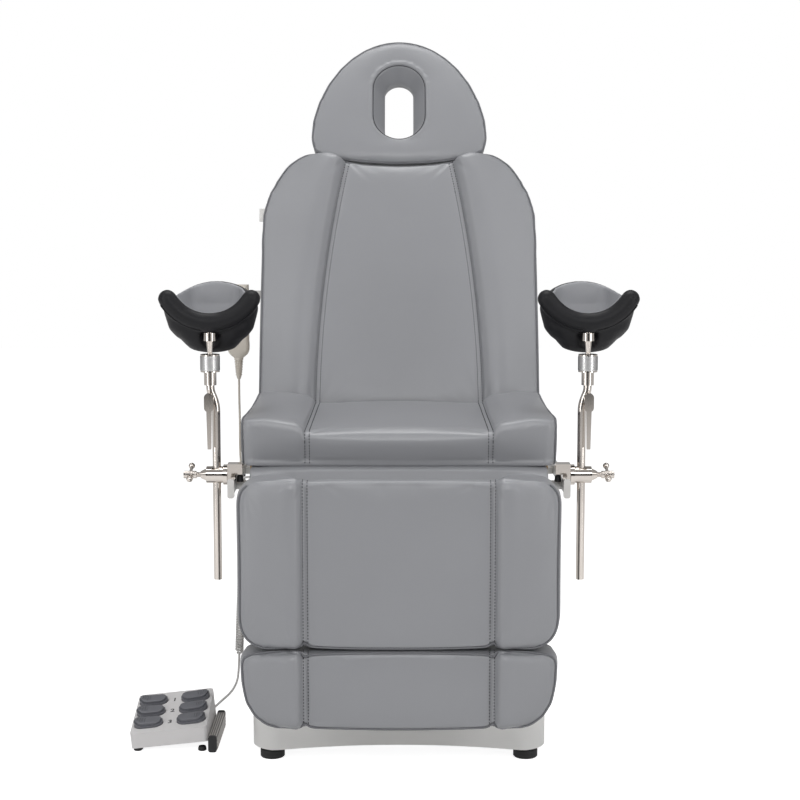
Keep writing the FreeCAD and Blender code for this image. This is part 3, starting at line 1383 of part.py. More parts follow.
def knee_cradle():
    bottom = CRADLE_BOTTOM
    wall = CRADLE_WALL
    outer = cradle_form(bottom, 0.0, CRADLE_TOP)
    lining = cradle_form(bottom + wall, wall, CRADLE_TOP + EPS)
    glued = cradle_form(bottom + wall + TOUCH_GAP, wall + TOUCH_GAP, CRADLE_TOP + EPS)
    hollow = cradle_form(bottom + wall + CRADLE_PAD, wall + CRADLE_PAD, CRADLE_TOP + 2 * EPS)
    dip = cradle_dip()
    roll = cradle_roll(CRADLE_ROLL)
    room = cradle_roll(CRADLE_ROLL + TOUCH_GAP)
    boss = rod(V(STUD_X, HOLDER_Y, COLLAR_TOP + TOUCH_GAP), V(STUD_X, HOLDER_Y, CRADLE_DIP_Z - 4), CRADLE_BOSS)
    bore = rod(V(STUD_X, HOLDER_Y, COLLAR_TOP), V(STUD_X, HOLDER_Y, SPIGOT_TOP + 1),
               SPIGOT_DIAMETER / 2 + PIN_GAP)
    below = rod(V(STUD_X, HOLDER_Y, COLLAR_BOTTOM - 30), V(STUD_X, HOLDER_Y, COLLAR_TOP + TOUCH_GAP),
                COLLAR_DIAMETER / 2 + 8)
    dome = Part.makeCylinder(CRADLE_DOME_RADIUS, 2 * CRADLE_DEPTH + CRADLE_WALL,
                             V(STUD_X, HOLDER_Y - CRADLE_DEPTH, CRADLE_TOP - CRADLE_DOME_RADIUS), Y_AXIS)
    shell = outer.common(dome).cut(lining).cut(dip).cut(below)
    shell = join(shell, roll, boss).cut(bore)
    padding = glued.cut(hollow).common(dome).cut(dip).cut(room).cut(shell)
    return [shell, padding]


# Handset

HOOK_RISE = (HOOK_TOP + HOOK_ARM_BOTTOM) / 2 - BACK_PIVOT_Z
HANDSET_Y = (BACK_PIVOT_Y + HOOK_RISE * math.tan(math.radians(BACK_TILT))
             + (BACK_PLATE_FACE + BACK_PLATE_REAR) / 2 / math.cos(math.radians(BACK_TILT)) - HOOK_SETBACK)


def handset():
    x = HANDSET_X
    half_x = HANDSET_WIDTH / 2
    half_y = HANDSET_DEPTH / 2
    y = HANDSET_Y
    low = HANDSET_BOTTOM
    high = low + HANDSET_HEIGHT
    case = rounded_box(x - half_x, x + half_x, y - half_y, y + half_y, low, high, HANDSET_ROUND)
    rear = y + half_y
    lug_y = rear + TOUCH_GAP + HOOK_THICK + TOUCH_GAP
    lug_top = box(x - 12, x + 12, rear - EPS, lug_y + 4, HOOK_TOP + TOUCH_GAP, HOOK_TOP + 6)
    lug_back = box(x - 12, x + 12, lug_y, lug_y + 4, HOOK_BOTTOM + 4, HOOK_TOP + 6)
    case = join(case, lug_top, lug_back)
    front = y - half_y
    middle = (low + high) / 2 + 8
    keypad = box(x - KEYPAD_WIDTH / 2, x + KEYPAD_WIDTH / 2, front - KEYPAD_THICK, front,
                 middle - KEYPAD_HEIGHT / 2, middle + KEYPAD_HEIGHT / 2)
    relief = cone(V(x, y, low), V(x, y, RELIEF_BOTTOM), RELIEF_TOP_RADIUS, RELIEF_TIP_RADIUS)
    return [case, keypad, relief]


def handset_hook():
    y0 = HANDSET_Y + HANDSET_DEPTH / 2 + TOUCH_GAP
    y1 = y0 + HOOK_THICK
    half = HOOK_WIDTH / 2
    plate = box(HANDSET_X - half, HANDSET_X + half, y0, y1, HOOK_BOTTOM, HOOK_TOP)
    arm = box(HANDSET_X, -BACK_PLATE_HALF_WIDTH, y0, y1, HOOK_ARM_BOTTOM, HOOK_TOP)
    return join(plate, arm)


# Footswitch, made level and then rolled onto its bar

def switch_placed(shape):
    placed = shape.copy()
    placed.rotate(CENTRE, Y_AXIS, -SWITCH_ROLL)
    placed.translate(V(SWITCH_LEFT, SWITCH_FRONT, SWITCH_LIFT))
    return placed


SWITCH_SLOPE = math.degrees(math.atan2(SWITCH_BACK_HEIGHT - SWITCH_FRONT_HEIGHT, SWITCH_DEPTH))


def switch_wedge(inset):
    depth = SWITCH_DEPTH - inset
    slope = math.tan(math.radians(SWITCH_SLOPE))
    front_top = SWITCH_FRONT_HEIGHT + inset * slope - inset
    back_top = SWITCH_FRONT_HEIGHT + depth * slope - inset
    points = [(inset, 0), (depth, 0), (depth, back_top), (inset, front_top)]
    wedge = plate_yz(points, inset, SWITCH_WIDTH - inset)
    edges = [edge for edge in wedge.Edges if is_along(edge, Z_AXIS)]
    return wedge.makeFillet(SWITCH_ROUND - inset, edges)


def pedal_place(column, row):
    # Middle of a pedal on the sloping top.
    x = SWITCH_WIDTH / 2 + column * PEDAL_COLUMN
    y = SWITCH_DEPTH / 2 + (row - 1) * PEDAL_PITCH * math.cos(math.radians(SWITCH_SLOPE))
    z = SWITCH_FRONT_HEIGHT + y * math.tan(math.radians(SWITCH_SLOPE))
    return V(x, y, z)


def on_slope(shape, place):
    tilted = shape.copy()
    tilted.rotate(CENTRE, X_AXIS, SWITCH_SLOPE)
    tilted.translate(place)
    return tilted


def pedal_oval(grow, bottom, top):
    half = PEDAL_WIDTH / 2 + grow
    wire = oval_wire(lambda across, along: V(along, across, bottom), PEDAL_DEPTH / 2 + grow, -half, half)
    return Part.Face(wire).extrude(V(0, 0, top - bottom))


def pedal_body():
    body = pedal_oval(0.0, PEDAL_PROUD - PEDAL_THICK, PEDAL_PROUD)
    rim = [edge for edge in body.Edges if edge.BoundBox.ZMin > PEDAL_PROUD - 0.01]
    body = body.makeFillet(2.5, rim)
    step = PEDAL_WIDTH / (PEDAL_RIBS + 1)
    for count in range(PEDAL_RIBS):
        x = -PEDAL_WIDTH / 2 + step * (count + 1)
        groove = box(x - PEDAL_RIB / 2, x + PEDAL_RIB / 2, -PEDAL_DEPTH, PEDAL_DEPTH,
                     PEDAL_PROUD - 1.4, PEDAL_PROUD + EPS)
        body = body.cut(groove)
    tongue = box(-3, 3, PEDAL_HINGE_Y - 2.5, PEDAL_HINGE_Y + 2.5, PEDAL_HINGE_Z - 3, PEDAL_PROUD - PEDAL_THICK + EPS)
    return join(body, tongue, pedal_pin(6, 0.0))


def pedal_pin(half, grow):
    return rod(V(-half, PEDAL_HINGE_Y, PEDAL_HINGE_Z), V(half, PEDAL_HINGE_Y, PEDAL_HINGE_Z), PEDAL_PIN / 2 + grow)


def pedal_post():
    # A forked post that the pedal's pin turns in.
    under = PEDAL_PROUD - PEDAL_THICK - TOUCH_GAP
    post = box(-6, 6, PEDAL_HINGE_Y - 3, PEDAL_HINGE_Y + 3, -60, under)
    slot = box(-3 - TOUCH_GAP, 3 + TOUCH_GAP, PEDAL_HINGE_Y - 4, PEDAL_HINGE_Y + 4, PEDAL_HINGE_Z - 4, under + EPS)
    return post.cut(slot).cut(pedal_pin(6 + EPS, PIN_GAP))


def footswitch_pedals():
    pedals = {}
    for column, side in ((-1, "left"), (1, "right")):
        for row in range(3):
            name = "pedal_%s_%d" % (side, 3 - row)
            pedals[name] = switch_placed(on_slope(pedal_body(), pedal_place(column, row)))
    return pedals


def footswitch_housing():
    shell = switch_wedge(0.0).cut(switch_wedge(SWITCH_WALL))
    floor = box(SWITCH_WALL, SWITCH_WIDTH - SWITCH_WALL, SWITCH_WALL, SWITCH_DEPTH - SWITCH_WALL, -EPS, SWITCH_WALL)
    shell = shell.cut(floor)
    for column in (-1, 1):
        for row in range(3):
            hole = pedal_oval(PEDAL_GAP, -20, 20)
            shell = shell.cut(on_slope(hole, pedal_place(column, row)))
    return switch_placed(shell)


def footswitch_base():
    gap = SWITCH_WALL + TOUCH_GAP
    sole = box(gap, SWITCH_WIDTH - gap, gap, SWITCH_DEPTH - gap, 0, SWITCH_WALL)
    edges = [edge for edge in sole.Edges if is_along(edge, Z_AXIS)]
    sole = sole.makeFillet(SWITCH_ROUND - gap, edges)
    pieces = [sole]
    for column in (-1, 1):
        for row in range(3):
            pieces.append(on_slope(pedal_post(), pedal_place(column, row)))
    whole = join(*pieces)
    keep = box(-50, SWITCH_WIDTH + 50, -50, SWITCH_DEPTH + 50, 0, 200)
    placed = switch_placed(whole.common(keep))
    feet = []
    for y in (SWITCH_FRONT + 18, SWITCH_FRONT + SWITCH_DEPTH - 18):
        x = SWITCH_LEFT + 14
        foot = rod(V(x, y, 0), V(x, y, 12), SWITCH_FOOT_DIAMETER / 2)
        feet.append(foot.cut(switch_placed(box(-50, SWITCH_WIDTH + 50, -50, SWITCH_DEPTH + 50, 0, 200))))
    return [placed] + feet


def footswitch_bar():
    x0 = SWITCH_LEFT + SWITCH_WIDTH * math.cos(math.radians(SWITCH_ROLL)) + 0.2
    x1 = x0 + BAR_WIDTH
    y0 = SWITCH_FRONT
    y1 = SWITCH_FRONT + SWITCH_DEPTH
    bar = rounded_box(x0, x1, y0, y1, 0, BAR_HEIGHT, 5.0, Y_AXIS)
    caps = []
    for start in (y0 - BAR_CAP, y1):
        caps.append(rounded_box(x0, x1, start, start + BAR_CAP, 0, BAR_HEIGHT + 3, 5.0, Y_AXIS))
    housing = switch_placed(switch_wedge(0.0))
    return [piece.cut(housing) for piece in [bar] + caps]


def footswitch_gland():
    y = SWITCH_FRONT + SWITCH_DEPTH
    nose = cone(V(SWITCH_GLAND_X, y - 2, SWITCH_GLAND_Z), V(SWITCH_GLAND_X, y + 22, SWITCH_GLAND_Z), 7, 4.4)
    return nose.cut(switch_placed(switch_wedge(0.0)))


# Cords

def handset_cord():
    z = SLAB_BOTTOM - GLAND_DROP - BOX_ROUND
    points = [
        V(HANDSET_X, HANDSET_Y, RELIEF_BOTTOM), V(HANDSET_X, HANDSET_Y, 640), V(-361, 250, 590), V(-361.5, 247, 540),
        V(-360, 244, 497), V(-353, 232, 462), V(-336, 208, 440), V(-311, 176, 436), V(-287, 146, 447),
        V(-263, 118, 472), V(HANDSET_GLAND_X, BOX_REAR + GLAND_LENGTH + 30, z),
        V(HANDSET_GLAND_X, BOX_REAR + GLAND_LENGTH, z),
    ]
    return cord_tube(points, CORD_RADIUS, "handset cord")


CURL_RUN = CURL_PITCH * CURLS + 2 * CURL_LEAD
CURL_TOP_HEADING = (CURL_BEND - CURL_START).normalize()
CURL_LAST_HEADING = (CURL_END - CURL_BEND).normalize()


def curl_axis(share):
    # The line that the curls hang along, sagging between its two ends.
    rest = 1 - share
    return CURL_START * rest ** 2 + CURL_BEND * (2 * rest * share) + CURL_END * share ** 2


def curl_axis_heading(share):
    return ((CURL_BEND - CURL_START) * (1 - share) + (CURL_END - CURL_BEND) * share).normalize()


def curl_point(turn):
    # The first and last turns are drawn out and narrow.
    growth = min(1.0, turn, CURLS - turn)
    growth = growth * growth * (3 - 2 * growth)
    drawn = CURL_LEAD * (min(1.0, turn) + max(0.0, turn - CURLS + 1))
    share = (CURL_PITCH * turn + drawn) / CURL_RUN
    along = curl_axis_heading(share)
    side = (X_AXIS - along * X_AXIS.dot(along)).normalize()
    across = along.cross(side)
    angle = 2 * math.pi * turn
    radius = CURL_RADIUS * growth
    return curl_axis(share) + side * (radius * math.cos(angle)) + across * (radius * math.sin(angle))


def curl_heading(turn):
    if turn <= 0:
        return CURL_TOP_HEADING
    if turn >= CURLS:
        return CURL_LAST_HEADING
    small = 1e-4
    return (curl_point(turn + small) - curl_point(turn - small)).normalize()


def curl_edges():
    edges = []
    steps = 4 * CURLS
    for count in range(steps):
        turn = count / 4
        after = (count + 1) / 4
        edges += biarc(curl_point(turn), curl_heading(turn), curl_point(after), curl_heading(after))
    return edges


def least_curl_gap():
    samples = 24
    points = [curl_point(count / samples) for count in range(CURLS * samples + 1)]
    least = 1e9
    for first in range(0, len(points), 3):
        for second in range(first + samples // 2, min(len(points), first + 2 * samples)):
            least = min(least, (points[first] - points[second]).Length)
    return least - 2 * CORD_RADIUS


def footswitch_coil():
    z = SLAB_BOTTOM - GLAND_DROP - BOX_ROUND
    tail = 2 * CORD_RADIUS
    first_curl = CURL_START - CURL_TOP_HEADING * tail
    lead = [
        V(BOX_LEFT - GLAND_LENGTH, COIL_GLAND_Y, z), V(-320, COIL_GLAND_Y, z), V(CLIP_X, 4, CLIP_Z + 1),
        V(CLIP_X, 60, CLIP_Z), CURL_START - CURL_TOP_HEADING * 27.5, first_curl,
    ]
    edges, radii = route_edges(lead)
    print("footswitch coil lead bend radii", [round(value) for value in radii])
    print("least gap between curls", round(least_curl_gap(), 2))
    top_run = line(first_curl, CURL_START)
    last_run = line(CURL_END, CURL_END + CURL_LAST_HEADING * tail)
    return tube_on(edges + [top_run] + curl_edges() + [last_run], CORD_RADIUS, "footswitch coil")


def cord_clip():
    # Holds the curly cord's lead below the left rail's rear end.
    y0 = CLIP_Y - CLIP_LENGTH / 2
    y1 = CLIP_Y + CLIP_LENGTH / 2
    rail_bottom = RAIL_Z - RAIL_HEIGHT / 2
    bore = CORD_RADIUS + PIN_GAP
    ring = rod(V(CLIP_X, y0, CLIP_Z), V(CLIP_X, y1, CLIP_Z), bore + CLIP_WALL)
    tab = box(CLIP_X - CLIP_WALL / 2, CLIP_X + CLIP_WALL / 2, y0, y1, CLIP_Z, rail_bottom)
    foot = box(CLIP_X - CLIP_WALL / 2, -RAIL_X + RAIL_THICK / 2 - 1.5, y0, y1, rail_bottom - CLIP_WALL, rail_bottom)
    hole = rod(V(CLIP_X, y0 - EPS, CLIP_Z + 0.3), V(CLIP_X, y1 + EPS, CLIP_Z + 0.3), bore + 0.4)
    return join(ring, tab, foot).cut(hole)


def footswitch_cord():
    floor = CORD_RADIUS + 0.4
    gland_y = SWITCH_FRONT + SWITCH_DEPTH + 22
    start = CURL_END + CURL_LAST_HEADING * (2 * CORD_RADIUS)
    points = [
        start, start + CURL_LAST_HEADING * 24, V(CURL_END.x - 3, 206, 12), V(CURL_END.x - 4, 185, 3.5),
        V(CURL_END.x - 5.5, 150, floor), V(CURL_END.x - 8, 112, floor), V(CURL_END.x - 15, 72, floor),
        V(-389, 30, floor), V(-397, -10, floor), V(-400, -42, 7),
        V(-399, -67, 16), V(SWITCH_GLAND_X, gland_y + 22, SWITCH_GLAND_Z),
        V(SWITCH_GLAND_X, gland_y, SWITCH_GLAND_Z),
    ]
    return cord_tube(points, CORD_RADIUS, "footswitch cord")


# All nodes

def single_nodes():
    return {
        "base_cover": base_cover(),
        "base_frame": base_frame(),
        "levelling_feet": levelling_feet(),
        "mains_inlet": mains_inlet(),
        "column_outer": column_tube(0.0, PLATE_TOP, COLUMN_OUTER_TOP),
        "column_middle": column_tube(COLUMN_STEP, PLATE_TOP + COLUMN_MIDDLE_RISE, COLUMN_MIDDLE_TOP),
        "column_inner": column_inner(),
        "lift_drive": lift_drive(),
        "lift_spindle": lift_spindle(),
        "seat_frame": seat_frame(),
        "seat_board": seat_board(),
        "seat_cushion": seat_cushion(),
        "front_bolster": front_bolster(),
        "side_rails": side_rails(),
        "rail_end_caps": rail_end_caps(),
        "hinge_pins": hinge_pins(),
        "control_box": control_box() + [cord_clip()],
        "leg_actuator": leg_actuator(),
        "leg_actuator_rod": leg_actuator_rod(),
        "back_actuator": back_actuator(),
        "back_actuator_rod": back_actuator_rod(),
        "backrest_frame": backrest_frame(),
        "backrest_board": backrest_board(),
        "backrest_cushion": backrest_cushion(),
        "headrest_bracket": headrest_bracket(),
        "headrest_board": headrest_board(),
        "headrest_cushion": headrest_cushion(),
        "legrest_frame": legrest_frame(),
        "legrest_cushion": legrest_cushion(),
        "footrest_slides": footrest_slides(),
        "footrest_cushion": footrest_cushion(),
        "handset": handset(),
        "handset_hook": handset_hook(),
        "handset_cord": handset_cord(),
        "footswitch_housing": footswitch_housing(),
        "footswitch_base": footswitch_base(),
        "footswitch_bar": footswitch_bar(),
        "footswitch_gland": footswitch_gland(),
        "footswitch_coil": footswitch_coil(),
        "footswitch_cord": footswitch_cord(),
    }


def holder_nodes():
    right = {
        "rail_clamp": rail_clamp(),
        "clamp_barrel": [clamp_barrel()],
        "clamp_screw": [clamp_screw()],
        "stirrup_rod": stirrup_rod(),
        "clamp_lever": [clamp_lever()],
        "ball_stud": [ball_stud()],
        "knee_cradle": knee_cradle(),
    }
    nodes = {}
    for name, pieces in right.items():
        nodes["right_" + name] = pieces
        nodes["left_" + name] = [mirrored(piece) for piece in pieces]
    return nodes


def export(nodes):
    os.makedirs("parts", exist_ok=True)
    for name, shape in nodes.items():
        whole = Part.makeCompound(shape) if isinstance(shape, list) else shape
        if not whole.isValid():
            print("not valid:", name)
        print(name, "solids", len(whole.Solids), "volume", round(whole.Volume / 1000, 1), "cm3")
        whole.exportStep("parts/%s.step" % name)


def main():
    nodes = single_nodes()
    nodes.update(holder_nodes())
    nodes.update(footswitch_pedals())
    export(nodes)
    print(len(nodes), "nodes")


main()
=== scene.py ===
# %% [markdown]
# Examination chair with leg holders, as a lesson in cells.
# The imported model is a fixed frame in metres: X is to the right, Y to the back and Z up.
# Every hard part already stands in its place, so the lesson adds what a solid can't show:
# cords, sewn cushions, stitches, knurls and finishes.

# %% Load the frame
import json
import math

import bmesh
import bpy
from mathutils import Matrix, Vector
from mathutils.bvhtree import BVHTree
from mathutils.kdtree import KDTree


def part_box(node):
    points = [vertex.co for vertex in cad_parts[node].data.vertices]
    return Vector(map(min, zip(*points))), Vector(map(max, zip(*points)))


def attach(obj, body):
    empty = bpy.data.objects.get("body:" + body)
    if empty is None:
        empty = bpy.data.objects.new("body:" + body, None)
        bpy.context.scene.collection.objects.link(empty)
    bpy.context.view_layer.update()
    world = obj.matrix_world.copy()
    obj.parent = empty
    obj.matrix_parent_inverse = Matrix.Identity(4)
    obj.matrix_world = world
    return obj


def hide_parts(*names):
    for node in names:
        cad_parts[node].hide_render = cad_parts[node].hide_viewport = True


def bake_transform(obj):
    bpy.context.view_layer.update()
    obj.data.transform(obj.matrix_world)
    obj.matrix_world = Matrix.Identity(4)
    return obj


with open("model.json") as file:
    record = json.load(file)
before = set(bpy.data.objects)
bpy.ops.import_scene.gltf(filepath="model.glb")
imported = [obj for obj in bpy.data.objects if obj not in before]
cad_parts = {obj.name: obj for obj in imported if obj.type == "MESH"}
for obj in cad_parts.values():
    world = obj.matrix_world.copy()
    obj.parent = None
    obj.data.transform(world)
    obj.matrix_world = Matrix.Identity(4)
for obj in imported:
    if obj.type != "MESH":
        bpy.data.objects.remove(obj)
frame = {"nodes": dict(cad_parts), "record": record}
nodes = frame["nodes"]
scene = bpy.context.scene
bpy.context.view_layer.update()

# %% [markdown]
# The camera stands level with the chair's middle, 3.6 m away, and looks down by a few degrees.
# It could be placed by eye, but its lens and tilt were worked out from the seat, rails and base,
# whose sizes are known, so every piece falls on the right place in the picture.

# %% Camera
camera = bpy.data.objects.new("camera", bpy.data.cameras.new("camera"))
camera.data.sensor_width = 36.0
camera.data.lens = 77.4
camera.location = (0.002, -3.62, 1.089)
camera.rotation_euler = (math.radians(90 - 6.633), 0, 0)
scene.collection.objects.link(camera)
scene.camera = camera
scene.view_settings.view_transform = "Standard"
print("camera lens", round(camera.data.lens, 1))

# %% [markdown]
# Shader maths reads best as sums. A Signal wraps one socket, so that `shade - dust` adds a Math node.
# A Finish is one material; its `node` method adds any other node with its settings and sockets.

# %% Signals and finishes
def feed(tree, socket, value):
    if isinstance(value, Signal):
        tree.links.new(value.socket, socket)
    else:
        socket.default_value = value


class Signal:
    def __init__(self, tree, socket):
        self.tree = tree
        self.socket = socket

    def math(self, operation, first, second=0.0):
        made = self.tree.nodes.new("ShaderNodeMath")
        made.operation = operation
        feed(self.tree, made.inputs[0], first)
        feed(self.tree, made.inputs[1], second)
        return Signal(self.tree, made.outputs[0])

    def __add__(self, other):
        return self.math("ADD", self, other)

    def __radd__(self, other):
        return self.math("ADD", other, self)

    def __sub__(self, other):
        return self.math("SUBTRACT", self, other)

    def __mul__(self, other):
        return self.math("MULTIPLY", self, other)

    def least(self, other):
        return self.math("MINIMUM", self, other)


class Finish:
    def __init__(self, name, owner=None):
        self.material = owner or bpy.data.materials.new(name)
        self.material.use_nodes = True
        self.tree = self.material.node_tree
        self.skin = self.tree.nodes.get("Principled BSDF")
        self.place = self.node("ShaderNodeTexCoord", output="Object")

    def node(self, kind, settings=None, sockets=None, output=0):
        made = self.tree.nodes.new(kind)
        for key, value in (settings or {}).items():
            setattr(made, key, value)
        for key, value in (sockets or {}).items():
            feed(self.tree, made.inputs[key], value)
        return Signal(self.tree, made.outputs[output])

    def noise(self, scale, detail, stretch=None):
        place = self.place
        if stretch:
            place = self.node("ShaderNodeMapping", None, {"Vector": place, "Scale": stretch})
        return self.node("ShaderNodeTexNoise", None, {"Vector": place, "Scale": scale, "Detail": detail})

    def mix(self, factor, first, second):
        return self.node("ShaderNodeMix", {"data_type": "RGBA"}, {0: factor, 6: first, 7: second}, 2)

    def shades(self, factor, colour, darker, lighter):
        low = tuple(c * darker for c in colour) + (1,)
        high = tuple(min(1.0, c * lighter) for c in colour) + (1,)
        self.set("Base Color", self.mix(factor, low, high))

    def set(self, socket, value):
        feed(self.tree, self.skin.inputs[socket], value)

    def relief(self, height, strength, distance):
        self.set("Normal", self.node("ShaderNodeBump", None,
                                     {"Height": height, "Strength": strength, "Distance": distance}))


def linear(red, green, blue):
    return tuple(((c / 255 + 0.055) / 1.055) ** 2.4 for c in (red, green, blue))


print("finish helpers ready")

# %% [markdown]
# The cushion cover is grey coated cloth: a soft satin skin with a fine pebble grain about 1.5 mm across.
# A photo texture would repeat and need UVs, so the grain is cells and pores on Object coordinates,
# and a slow cloud shifts the colour and the gloss a little, as handling does.

# %% Coated cloth and foam skin
def coated_cloth(name, colour, gloss, grain, shine=0.42):
    finish = Finish(name)
    cloud = finish.noise(7.0, 4.0)
    cells = finish.node("ShaderNodeTexVoronoi", {"feature": "DISTANCE_TO_EDGE"},
                        {"Vector": finish.place, "Scale": grain})
    pores = finish.noise(grain * 3.5, 2.0)
    valley = cells.least(0.22) * 3.0
    finish.shades(cloud * 0.55 + valley * 0.3 + pores * 0.25, colour, 0.92, 1.07)
    finish.set("Roughness", gloss + 0.06 + cloud * 0.03 + pores * 0.05)
    finish.relief(valley + pores * 0.35, 0.22, 0.00035)
    finish.skin.inputs["Specular IOR Level"].default_value = shine
    return finish.material


cover_grey = coated_cloth("cover_grey", linear(149, 150, 154), 0.25, 650.0, 0.7)
lining_grey = coated_cloth("lining_grey", linear(168, 169, 173), 0.31, 650.0)
foam_black = coated_cloth("foam_black", linear(24, 24, 27), 0.34, 900.0, 0.26)
print("covers", cover_grey.name, foam_black.name)

# %% [markdown]
# Painted steel and moulded covers are smooth, but never perfectly: powder coat has orange peel,
# plastic has a spark-eroded grain, and dust greys whatever is close to the floor.
# One recipe does them all, with the grain size, gloss and floor dust as its values.

# %% Paint, plastic and rubber
def moulded(name, colour, gloss, grain, depth, dust=0.0):
    finish = Finish(name)
    cloud = finish.noise(5.0, 3.0)
    speck = finish.noise(grain, 2.0)
    shade = cloud * 0.7 + speck * 0.3
    if dust:
        height = finish.node("ShaderNodeSeparateXYZ", None, {"Vector": finish.place}, "Z")
        low = finish.node("ShaderNodeMapRange", None, {0: height, 1: 0.0, 2: 0.07, 3: dust, 4: 0.0})
        shade = shade - low * (0.5 + cloud)
    finish.shades(shade, colour, 0.93, 1.05)
    finish.set("Roughness", gloss + cloud * 0.10 + speck * 0.05)
    finish.relief(speck, 0.25, depth)
    return finish.material


white_cover = moulded("white_cover", linear(246, 245, 243), 0.30, 900.0, 0.00008, 0.3)
white_paint = moulded("white_paint", linear(228, 228, 226), 0.32, 420.0, 0.00015)
grey_paint = moulded("grey_paint", linear(150, 152, 155), 0.38, 420.0, 0.00018)
white_plastic = moulded("white_plastic", linear(235, 233, 230), 0.34, 1500.0, 0.00008)
cream_plastic = moulded("cream_plastic", linear(226, 219, 208), 0.36, 1500.0, 0.00008)
pale_grey_plastic = moulded("pale_grey_plastic", linear(228, 226, 226), 0.36, 1300.0, 0.00012)
black_plastic = moulded("black_plastic", linear(27, 27, 29), 0.36, 1300.0, 0.00015)
black_rubber = moulded("black_rubber", linear(20, 20, 21), 0.55, 700.0, 0.0002, 0.4)
pedal_grey = moulded("pedal_grey", linear(108, 109, 115), 0.42, 1100.0, 0.00018)
cord_grey = moulded("cord_grey", linear(214, 212, 210), 0.40, 1600.0, 0.00008)
print("moulded finishes", len(bpy.data.materials))

# %% [markdown]
# The leg holders are chromed steel. A clean mirror looks false, so fine rubbing marks run round and along the rods,
# and finger smears make some patches a little duller. Raw steel and aluminium get longer, rougher streaks.

# %% Metals
def metal(name, colour, gloss, streaks, stretch, smear):
    finish = Finish(name)
    marks = finish.noise(streaks, 3.0, stretch)
    cloud = finish.noise(18.0, 3.0)
    finish.shades(marks * 0.4 + cloud * 0.6, colour, 0.90, 1.06)
    finish.set("Roughness", gloss + marks * smear + cloud * smear)
    finish.relief(marks, 0.08, 0.0001)
    finish.skin.inputs["Metallic"].default_value = 1.0
    return finish.material


chrome = metal("chrome", (0.67, 0.62, 0.575), 0.04, 260.0, (1, 1, 0.12), 0.06)
steel = metal("steel", (0.60, 0.60, 0.60), 0.22, 300.0, (0.08, 1, 1), 0.16)
aluminium = metal("aluminium", (0.60, 0.575, 0.55), 0.26, 380.0, (1, 0.05, 1), 0.14)
# The dark grey metal below is painted shade for the grooves between the footswitch bar's ribs.
groove_painted_shade_grey = metal("groove_painted_shade_grey", (0.20, 0.19, 0.185), 0.34, 380.0, (1, 0.05, 1), 0.14)
print("metals", chrome.name, steel.name, aluminium.name)

# %% [markdown]
# The boards under the padding are birch plywood: pale, with brown grain along the board
# and thin darker plies on its edge.

# %% Plywood
def birch_ply(name):
    finish = Finish(name)
    grain = finish.noise(60.0, 4.0, (1, 0.06, 0.06))
    plies = finish.node("ShaderNodeTexWave", {"bands_direction": "Z"},
                        {"Vector": finish.place, "Scale": 105.0, "Distortion": 1.5})
    finish.shades(grain * 0.75 + plies * 0.35, linear(205, 172, 128), 0.72, 1.08)
    finish.set("Roughness", 0.55 + grain * 0.15)
    finish.relief(grain, 0.15, 0.0003)
    return finish.material


plywood = birch_ply("plywood")
finish_of = {"upholstery": cover_grey, "white_cover": white_cover, "grey_paint": grey_paint,
             "white_paint": white_paint, "steel": steel, "chrome": chrome, "black_rubber": black_rubber,
             "black_pu": foam_black, "black_plastic": black_plastic, "white_plastic": white_plastic,
             "cream_plastic": cream_plastic, "light_grey_plastic": pale_grey_plastic, "aluminium": aluminium,
             "plywood": plywood, "grey_cord": cord_grey}
for row in frame["record"]["subparts"]:
    mesh = nodes[row["node"]].data
    mesh.materials.clear()
    mesh.materials.append(finish_of[row["material_slot"]])

# %% [markdown]
# The chair stands on a plain pale floor in a white studio. The floor glows a little for the camera, so it reads white,
# yet it still takes the chair's shadow. Large soft lamps stand above the camera, over the chair, and high and low
# at both sides, where the padded edges mirror them. The lamps stay plain, and the white comes from the stage itself.

# %% Stage
def grey(level):
    return (level, level, level, 1)


def by_ray(finish, lighting, mirrored, seen):
    # Three levels for one surface: what it lends as light, what shiny parts mirror and what the camera sees.
    camera_ray = finish.node("ShaderNodeLightPath", None, None, "Is Camera Ray")
    glossy_ray = finish.node("ShaderNodeLightPath", None, None, "Is Glossy Ray")
    return finish.mix(camera_ray, finish.mix(glossy_ray, grey(lighting), grey(mirrored)), grey(seen))


def stage_sheet(name, finish, half, place):
    plan = bmesh.new()
    bmesh.ops.create_grid(plan, x_segments=1, y_segments=1, size=half, matrix=place)
    mesh = bpy.data.meshes.new(name)
    plan.to_mesh(mesh)
    plan.free()
    mesh.materials.append(finish.material)
    sheet = bpy.data.objects.new(name, mesh)
    scene.collection.objects.link(sheet)
    return sheet


def white_stage():
    finish = Finish("studio_floor")
    finish.skin.inputs["Base Color"].default_value = grey(0.68)
    finish.skin.inputs["Roughness"].default_value = 0.9
    finish.skin.inputs["Specular IOR Level"].default_value = 0.0
    finish.skin.inputs["Emission Strength"].default_value = 1.0
    finish.set("Emission Color", by_ray(finish, 0.0, 0.45, 0.91))
    stage_sheet("studio_floor", finish, 9.0, Matrix.Identity(4))


def white_world():
    scene.world = bpy.data.worlds.new("studio")
    finish = Finish("studio", scene.world)
    back = finish.tree.nodes["Background"]
    feed(finish.tree, back.inputs["Color"], by_ray(finish, 0.15, 0.40, 1.0))


def dark_card():
    # Chrome needs something dark to mirror, so a card behind the camera is there for reflections alone.
    finish = Finish("dark_card")
    finish.skin.inputs["Base Color"].default_value = grey(0.02)
    finish.skin.inputs["Roughness"].default_value = 0.9
    upright = Matrix.Translation((0, -4.6, 1.2)) @ Matrix.Rotation(math.pi / 2, 4, "X")
    card = stage_sheet("dark_card", finish, 1.0, upright)
    card.visible_camera = card.visible_diffuse = card.visible_shadow = False


